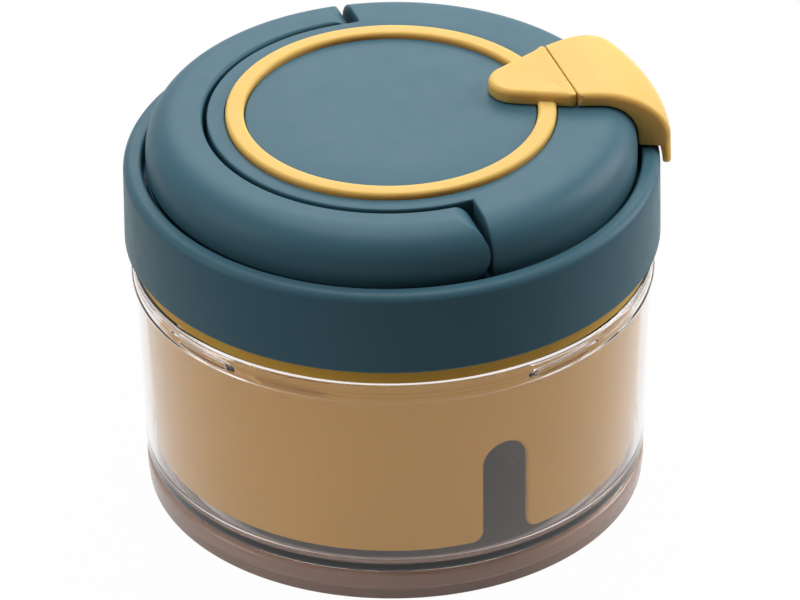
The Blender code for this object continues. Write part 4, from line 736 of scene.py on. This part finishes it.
def ring_piece(l, b):
    """Turned section with rounded top edges, which stops inside the dock at both ends."""
    low = l.top_z - RING_SINK
    section = rounded([(l.ring_inner, low, 0), (l.ring_inner, l.ring_top, 0.0009),
                       (l.ring_outer, l.ring_top, 0.0009), (l.ring_outer, low, 0)], count=8)
    angles = np.linspace(RING_STOP, TAU - RING_STOP, b.steps)
    grid = swept(section, angles)
    centre = section.mean(axis=0)
    ends = []
    for column, angle in ((0, angles[0]), (-1, angles[-1])):
        middle = around(np.full(len(section), centre[0]), centre[1], angle)
        ends.append((np.stack([grid[column], middle]), False, True))
    obj = surface("yellow_ring", [(grid, False, True)] + ends)
    mount(obj, "lid", "yellow_plastic", "yellow_moulded", "accent_ring")


class CHOPPER_OT_handle(bpy.types.Operator):
    """Builds the half ring carry handle"""
    bl_idname = "chopper.handle"
    bl_label = "Carry Handle"

    def execute(self, context):
        handle_piece(context.scene.chopper_handle, context.scene.chopper_lid)
        return {"FINISHED"}


def handle_piece(h, l):
    """Half ring. At height z the wall lies between an inner and an outer radius, and the ends stop at
    axis + sqrt(end radius^2 - (z - axis height)^2), a half round about the pivot; the underside is raised
    by a hollow that fades out towards the ends."""
    axis_z = l.top_z - h.end_radius
    bottom = l.top_z - 2 * h.end_radius
    z = axis_z + h.end_radius * np.cos(np.linspace(0, math.pi, 45))
    z[0], z[-1] = l.top_z, bottom
    z = np.unique(np.round(np.concatenate([z, shoulder_rows(l, count=48)[:, 1]]), 9))[::-1]
    z = z[z > bottom - 1e-7]
    rise = np.clip((z - (l.top_z - l.shoulder_drop)) / l.shoulder_drop, 0, 1)
    outer = l.shoulder_flat + (l.shoulder_radius - l.shoulder_flat) * opposite(l, rise)
    foot = set_back(HANDLE_FOOT, np.clip(bottom + HANDLE_FOOT - z, 0, HANDLE_FOOT))
    outer -= foot
    inner = h.inner_radius + foot + set_back(h.edge, np.clip(z - (l.top_z - h.edge), 0, h.edge))
    wall = h.wall / (outer[-1] - inner[-1])
    step = HOLLOW_STEP / (outer[-1] - inner[-1])
    c = np.concatenate([[0, 0.006], np.linspace(wall - step, wall + step, 5),
                        np.linspace(wall + step, 1 - wall - step, 11)[1:-1],
                        np.linspace(1 - wall - step, 1 - wall + step, 5), [0.994, 1]])
    flat_r = inner[-1] + (outer[-1] - inner[-1]) * c
    rise = np.clip((flat_r - l.shoulder_flat) / (l.shoulder_radius - l.shoulder_flat), 0, 1)
    skin = l.top_z - l.shoulder_drop + l.shoulder_drop * opposite(l, rise)
    inside = smoothstep((np.minimum(c, 1 - c) - wall + step) / (2 * step))
    hollow = np.maximum(skin - h.wall - bottom, 0.001) * inside
    radius = np.concatenate([inner[::-1], inner[0] + (outer[0] - inner[0]) * c[1:-1], outer, flat_r[-2:0:-1]])
    height = np.concatenate([z[::-1], np.full(len(c) - 2, l.top_z), z, np.full(len(c) - 2, bottom)])
    lift = np.concatenate([np.zeros(2 * len(z) + len(c) - 2), hollow[-2:0:-1]])

    def reach(level):
        return h.axis_x + np.sqrt(np.clip(h.end_radius ** 2 - (level - axis_z) ** 2, 0, None))

    u = np.concatenate([np.linspace(0, 0.12, 22), np.linspace(0.12, 0.88, 110)[1:-1],
                        np.linspace(0.88, 1, 22)])
    start = np.arccos(reach(height) / radius)
    angle = start[None] + u[:, None] * (TAU - 2 * start[None])
    fade = smoothstep((np.minimum(u, 1 - u) - 0.055) / 0.02)
    grid = around(radius[None], height[None] + lift[None] * fade[:, None], angle)
    ends = []
    cap_r = inner[:, None] + (outer - inner)[:, None] * c[None]
    cap_x = reach(z)[:, None] + 0 * cap_r
    for side in (1, -1):
        cap = np.stack([cap_x, side * np.sqrt(cap_r ** 2 - cap_x ** 2), z[:, None] + 0 * cap_r], axis=-1)
        ends.append((cap, False, False))
    obj = surface("teal_handle", [(grid, False, True)] + ends)
    mount(obj, "handle", "teal_plastic", "teal_moulded", "carry_handle")


class CHOPPER_OT_tab(bpy.types.Operator):
    """Builds the dock and the pull tab"""
    bl_idname = "chopper.tab"
    bl_label = "Dock and Pull Tab"

    def execute(self, context):
        dock_piece(context.scene.chopper_tab, context.scene.chopper_lid)
        tab_piece(context.scene.chopper_tab, context.scene.chopper_lid)
        return {"FINISHED"}


def dock_piece(k, l):
    """Rounded triangle: two sides tangent to the tip's circle meet the split plane in small fillets.
    Rings run up the side, turn in by a quarter circle whose radius is smaller along the split, and close
    on a dimple."""
    length = k.split_x - k.tip_x
    distance = math.hypot(length, k.half_width)
    lean = math.atan2(k.half_width, length) - math.asin(k.tip_radius / distance)
    apex = k.split_x - k.half_width / math.tan(lean)
    corners = [(k.split_x, -k.half_width, k.corner), (k.split_x, k.half_width, k.corner),
               (apex, 0, k.tip_radius)]
    plan = rounded(corners, count=24)
    outline = resample(np.concatenate([plan, plan[:1]]), 257)[:-1]
    soften = smoothstep((k.split_x - 0.0002 - outline[:, 0]) / 0.0030)
    amount = k.split_edge + (k.edge - k.split_edge) * soften
    along = np.roll(outline, -1, axis=0) - np.roll(outline, 1, axis=0)
    along /= np.linalg.norm(along, axis=1, keepdims=True)
    inward = np.stack([-along[:, 1], along[:, 0]], axis=1)
    low = l.top_z + SEAT
    turn = np.linspace(0, math.pi / 2, 10)[:, None]
    inset = amount[None] * (1 - np.cos(turn))
    rings_xy = outline[None] + inward[None] * inset[..., None]
    rings_z = k.top_z - amount[None] * (1 - np.sin(turn))
    rings = np.concatenate([rings_xy, rings_z[..., None]], axis=-1)
    base = np.concatenate([outline, np.full((len(outline), 1), low)], axis=1)[None]
    centre = np.array([k.split_x - 0.0065, 0.0])
    scale = np.linspace(1, 0, 26)[1:, None]
    top_xy = centre + (rings_xy[-1][None] - centre) * scale[..., None]
    dimple = k.dimple * smoothstep((1 - scale) / 0.9) + 0 * top_xy[..., 0]
    top = np.concatenate([top_xy, (k.top_z - dimple)[..., None]], axis=-1)
    closing = np.concatenate([centre, [low]])[None, None] + 0 * base
    obj = surface("yellow_dock", [(np.concatenate([closing, base, rings, top]), False, True)])
    mount(obj, "lid", "yellow_plastic", "yellow_moulded", "tab_dock")


def tab_width(k, radius, height):
    """Half the tab's width: it grows evenly with X from the split to the lip, then by a share of itself down
    the lip's flare, and loses corner - sqrt(corner^2 - depth^2) where the lip's lower corner is rounded."""
    start, lip_x = k.split_x + SEAT, math.sqrt(k.outer_radius ** 2 - k.lip_half_width ** 2)
    slope = (k.lip_half_width - k.half_width) / (lip_x - start)
    even = k.half_width + (k.lip_half_width - k.half_width) * (radius - start) / (k.outer_radius - start)
    half = k.half_width + slope * (draped(k, radius, even) - start)
    half = half * (1 + k.flare * np.clip((k.lip_z + k.flare_rise - height) / k.flare_rise, 0, 1))
    return half - set_back(k.corner, np.clip(k.lip_z + k.corner - height, 0, k.corner))


def draped(k, radius, y):
    """X of a point at a radius: sqrt(radius^2 - y^2) over the shoulder, blended to the straight split."""
    away = smoothstep((radius - k.split_x) / (k.flat_radius + 0.002 - k.split_x))
    return np.sqrt(np.maximum(radius ** 2 - y ** 2, 0)) * away + radius * (1 - away)


def tab_piece(k, l):
    """Loop of two paired curves, the outside and the underside, which meet in the lip's half round. It is
    swept across Y at the tab's width, and its sides turn in by quarter circles along the loop's normals."""
    start = k.split_x + SEAT
    tip = k.lip / 2
    crown, tip_z, tip_r = k.top_z - k.drop, k.lip_z + tip, k.outer_radius - tip
    angles = np.linspace(math.pi / 2, 0, 60)
    fall = np.stack([k.flat_radius + (k.outer_radius - k.flat_radius) * np.cos(angles),
                     crown + k.drop * np.sin(angles)], axis=1)
    quarter = np.linspace(math.pi, math.pi / 2, 6)
    edge = k.split_edge
    front = np.stack([start + edge + edge * np.cos(quarter), k.top_z - edge + edge * np.sin(quarter)], axis=1)
    inner_r, over, low = k.outer_radius - k.lip, l.collar_top + 0.0004, l.top_z + SEAT
    shoulder = shoulder_rows(l, SEAT, 40)[::-1]
    bend = rounded([(shoulder[-1][0], shoulder[-1][1], 0), (shoulder[-1][0], over + 0.0003, 0.0003),
                    (l.collar_inner, over + 0.0003, 0.0003), (inner_r, over, 0.0008), (inner_r, tip_z, 0)],
                   closed=False, count=5)
    middle = np.linspace(0, -math.pi / 2, 9)
    out_tip, in_tip = (np.stack([tip_r + way * np.cos(middle), tip_z + tip * np.sin(middle)], axis=1)
                       for way in (tip, -tip))
    split = 28
    outside = np.concatenate([front, resample(np.concatenate([front[-1:], fall[:split]]), 44)[1:],
                              resample(fall[split - 1:], 26)[1:],
                              resample(np.concatenate([fall[-1:], out_tip[:1]]), 12)[1:], out_tip[1:]])
    foot = np.argmin(np.linalg.norm(bend - np.array([inner_r, over - 0.0008]), axis=1))
    under_front = np.linspace([start, low], [start + edge, low], len(front))
    under = np.concatenate([under_front, resample(np.concatenate([under_front[-1:], shoulder]), 44)[1:],
                            resample(bend[:foot + 1], 26)[1:], resample(bend[foot:], 12)[1:], in_tip[1:]])
    loop = np.concatenate([outside, under[-2::-1]])
    normal = profile_normals(loop)
    thick = np.linalg.norm(outside - under, axis=1)
    rho = np.concatenate([np.minimum(k.edge, 0.48 * thick), np.minimum(0.0004, 0.3 * thick)[-2::-1]])
    half = tab_width(k, loop[:, 0], loop[:, 1])
    flat = np.linspace(-1, 1, 61)[:, None] * (half - rho)[None]
    turn = np.linspace(0, math.pi / 2, 9)[1:, None]
    inset = rho[None] * (1 - np.cos(turn))
    side_y = (half - rho)[None] + rho[None] * np.sin(turn)
    side_r = loop[None, :, 0] + normal[None, :, 0] * inset
    side_z = loop[None, :, 1] + normal[None, :, 1] * inset
    y = np.concatenate([-side_y[::-1], flat, side_y])
    radius = np.concatenate([side_r[::-1], np.repeat(loop[None, :, 0], len(flat), axis=0), side_r])
    height = np.concatenate([side_z[::-1], np.repeat(loop[None, :, 1], len(flat), axis=0), side_z])
    grid = np.stack([draped(k, radius, y), y, height], axis=-1)
    count, ends = len(outside), []
    for column in (0, -1):
        upper = grid[column, :count]
        lower = np.concatenate([grid[column, count:][::-1], grid[column, count - 1:count]])
        ends.append((np.stack([upper, lower]), False, False))
    obj = surface("yellow_tab", [(grid, False, True)] + ends)
    mount(obj, "tab", "yellow_plastic", "yellow_moulded", "pull_tab")


class CHOPPER_OT_inner(bpy.types.Operator):
    """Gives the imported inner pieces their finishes"""
    bl_idname = "chopper.inner"
    bl_label = "Inner Pieces"

    def execute(self, context):
        kinds = {"white_moulded": ("base_plate", "drive_bush", "drive_socket", "cord_spool", "spring_cap",
                                   "blade_hub"),
                 "blade_steel": ("blade_1", "blade_2", "blade_3"),
                 "turned_steel": ("pivot_pin", "handle_pin_front", "handle_pin_back", "lid_screw_1",
                                  "lid_screw_2", "lid_screw_3", "lid_screw_4", "spindle", "cord_eyelet"),
                 "spring_steel": ("recoil_spring",)}
        for finish, nodes in kinds.items():
            for node in nodes:
                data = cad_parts[node].data
                data.materials.clear()
                data.materials.append(finishes()[finish])
        return {"FINISHED"}


# Stage


def background_rays(tree):
    """1 for rays that show the background: straight to the camera, by a gloss or through a clear piece."""
    path = tree.nodes.new("ShaderNodeLightPath")
    seen = path.outputs["Is Camera Ray"]
    for kind in ("Is Glossy Ray", "Is Transmission Ray"):
        most = tree.nodes.new("ShaderNodeMath")
        most.operation = "MAXIMUM"
        tree.links.new(seen, most.inputs[0])
        tree.links.new(path.outputs[kind], most.inputs[1])
        seen = most.outputs[0]
    return seen


def area_light(name, power, width, height, place):
    """A rectangular lamp that faces the object."""
    data = bpy.data.lights.new(name, "AREA")
    data.shape = "RECTANGLE"
    data.energy = power
    data.size = width
    data.size_y = height
    lamp = bpy.data.objects.new(name, data)
    lamp.location = place
    lamp.rotation_euler = (Vector(AIM) - Vector(place)).to_track_quat("-Z", "Y").to_euler()
    bpy.context.scene.collection.objects.link(lamp)


class CHOPPER_OT_stage(bpy.types.Operator):
    """Makes the floor, the lamps, the world and the camera"""
    bl_idname = "chopper.stage"
    bl_label = "Stage"

    def execute(self, context):
        scene = context.scene
        scene.view_settings.view_transform = "Standard"
        camera = bpy.data.objects.new("camera", bpy.data.cameras.new("camera"))
        camera.data.lens = 270.0
        camera.data.sensor_width = 36.0
        camera.data.clip_start, camera.data.clip_end = 0.05, 20.0
        camera.location = (-0.35966, -1.14071, 0.81473)
        camera.rotation_euler = Euler([math.radians(a) for a in (57.2263, 0.6369, -17.9831)], "XYZ")
        scene.collection.objects.link(camera)
        scene.camera = camera

        world = bpy.data.worlds.new("studio")
        scene.world = world
        world.use_nodes = True
        tree = world.node_tree
        tree.nodes.clear()
        mix = tree.nodes.new("ShaderNodeMixShader")
        tree.links.new(background_rays(tree), mix.inputs["Fac"])
        for socket, strength in ((1, WORLD_LIGHT), (2, 1.0)):
            light = tree.nodes.new("ShaderNodeBackground")
            light.inputs["Color"].default_value = (1.0, 1.0, 1.0, 1.0)
            light.inputs["Strength"].default_value = strength
            tree.links.new(light.outputs[0], mix.inputs[socket])
        out = tree.nodes.new("ShaderNodeOutputWorld")
        tree.links.new(mix.outputs[0], out.inputs["Surface"])

        for lamp in LAMPS:
            area_light(*lamp)
        floor_piece(scene.chopper_finish)
        return {"FINISHED"}


def floor_piece(f):
    """A flat round floor, plain grey to the light and white to the camera, but for the part under the
    object: there the floor itself shows, with its shade, through the clear pieces."""
    rings = np.linspace(0, FLOOR_RADIUS, 9)[None]
    angles = (np.arange(64) * TAU / 64)[:, None]
    obj = surface("floor", [(around(rings, -FLOOR_DROP, angles), True, False)])
    obj.data.flip_normals()
    n = Nodes("floor_paper")
    n.link(n.ramp(n.noise(6.0), tone(f.floor, 0.99), f.floor), n.shader.inputs["Base Color"])
    n.values(Roughness=0.85)
    away = n.add("ShaderNodeVectorMath", operation="LENGTH")
    n.link(n.place, away.inputs[0])
    amount = n.add("ShaderNodeMath", operation="MULTIPLY")
    n.link(background_rays(n.tree), amount.inputs[0])
    n.link(n.span(away.outputs["Value"], 0.0, WHITE_SHARE, SHADE_START, SHADE_END), amount.inputs[1])
    glow = n.add("ShaderNodeEmission")
    glow.inputs["Color"].default_value = (1.0, 1.0, 1.0, 1.0)
    glow.inputs["Strength"].default_value = 1.0
    mix = n.add("ShaderNodeMixShader")
    n.link(amount.outputs[0], mix.inputs["Fac"])
    n.link(n.shader.outputs[0], mix.inputs[1])
    n.link(glow.outputs[0], mix.inputs[2])
    n.link(mix.outputs[0], n.tree.nodes["Material Output"].inputs["Surface"])
    obj.data.materials.append(n.material)


class CHOPPER_PT_panel(bpy.types.Panel):
    """Lists the chopper's pieces in the sidebar"""
    bl_idname = "CHOPPER_PT_panel"
    bl_label = "Food Chopper"
    bl_space_type = "VIEW_3D"
    bl_region_type = "UI"
    bl_category = "Chopper"

    def draw(self, context):
        for operator in OPERATORS:
            self.layout.operator(operator.bl_idname)


OPERATORS = (CHOPPER_OT_stage, CHOPPER_OT_bowl, CHOPPER_OT_sleeve, CHOPPER_OT_lid, CHOPPER_OT_handle,
             CHOPPER_OT_tab, CHOPPER_OT_inner)
GROUPS = {"chopper_bowl": ChopperBowl, "chopper_sleeve": ChopperSleeve, "chopper_lid": ChopperLid,
          "chopper_handle": ChopperHandle, "chopper_tab": ChopperTab, "chopper_finish": ChopperFinish}
CLASSES = (*GROUPS.values(), *OPERATORS, CHOPPER_PT_panel)


def register():
    for kind in CLASSES:
        bpy.utils.register_class(kind)
    for name, group in GROUPS.items():
        setattr(bpy.types.Scene, name, PointerProperty(type=group))


def unregister():
    for name in GROUPS:
        delattr(bpy.types.Scene, name)
    for kind in reversed(CLASSES):
        bpy.utils.unregister_class(kind)


def main():
    register()
    bpy.ops.chopper.stage()
    bpy.ops.chopper.bowl()
    bpy.ops.chopper.sleeve()
    bpy.ops.chopper.lid()
    bpy.ops.chopper.handle()
    bpy.ops.chopper.tab()
    bpy.ops.chopper.inner()


if __name__ == "__main__":
    main()
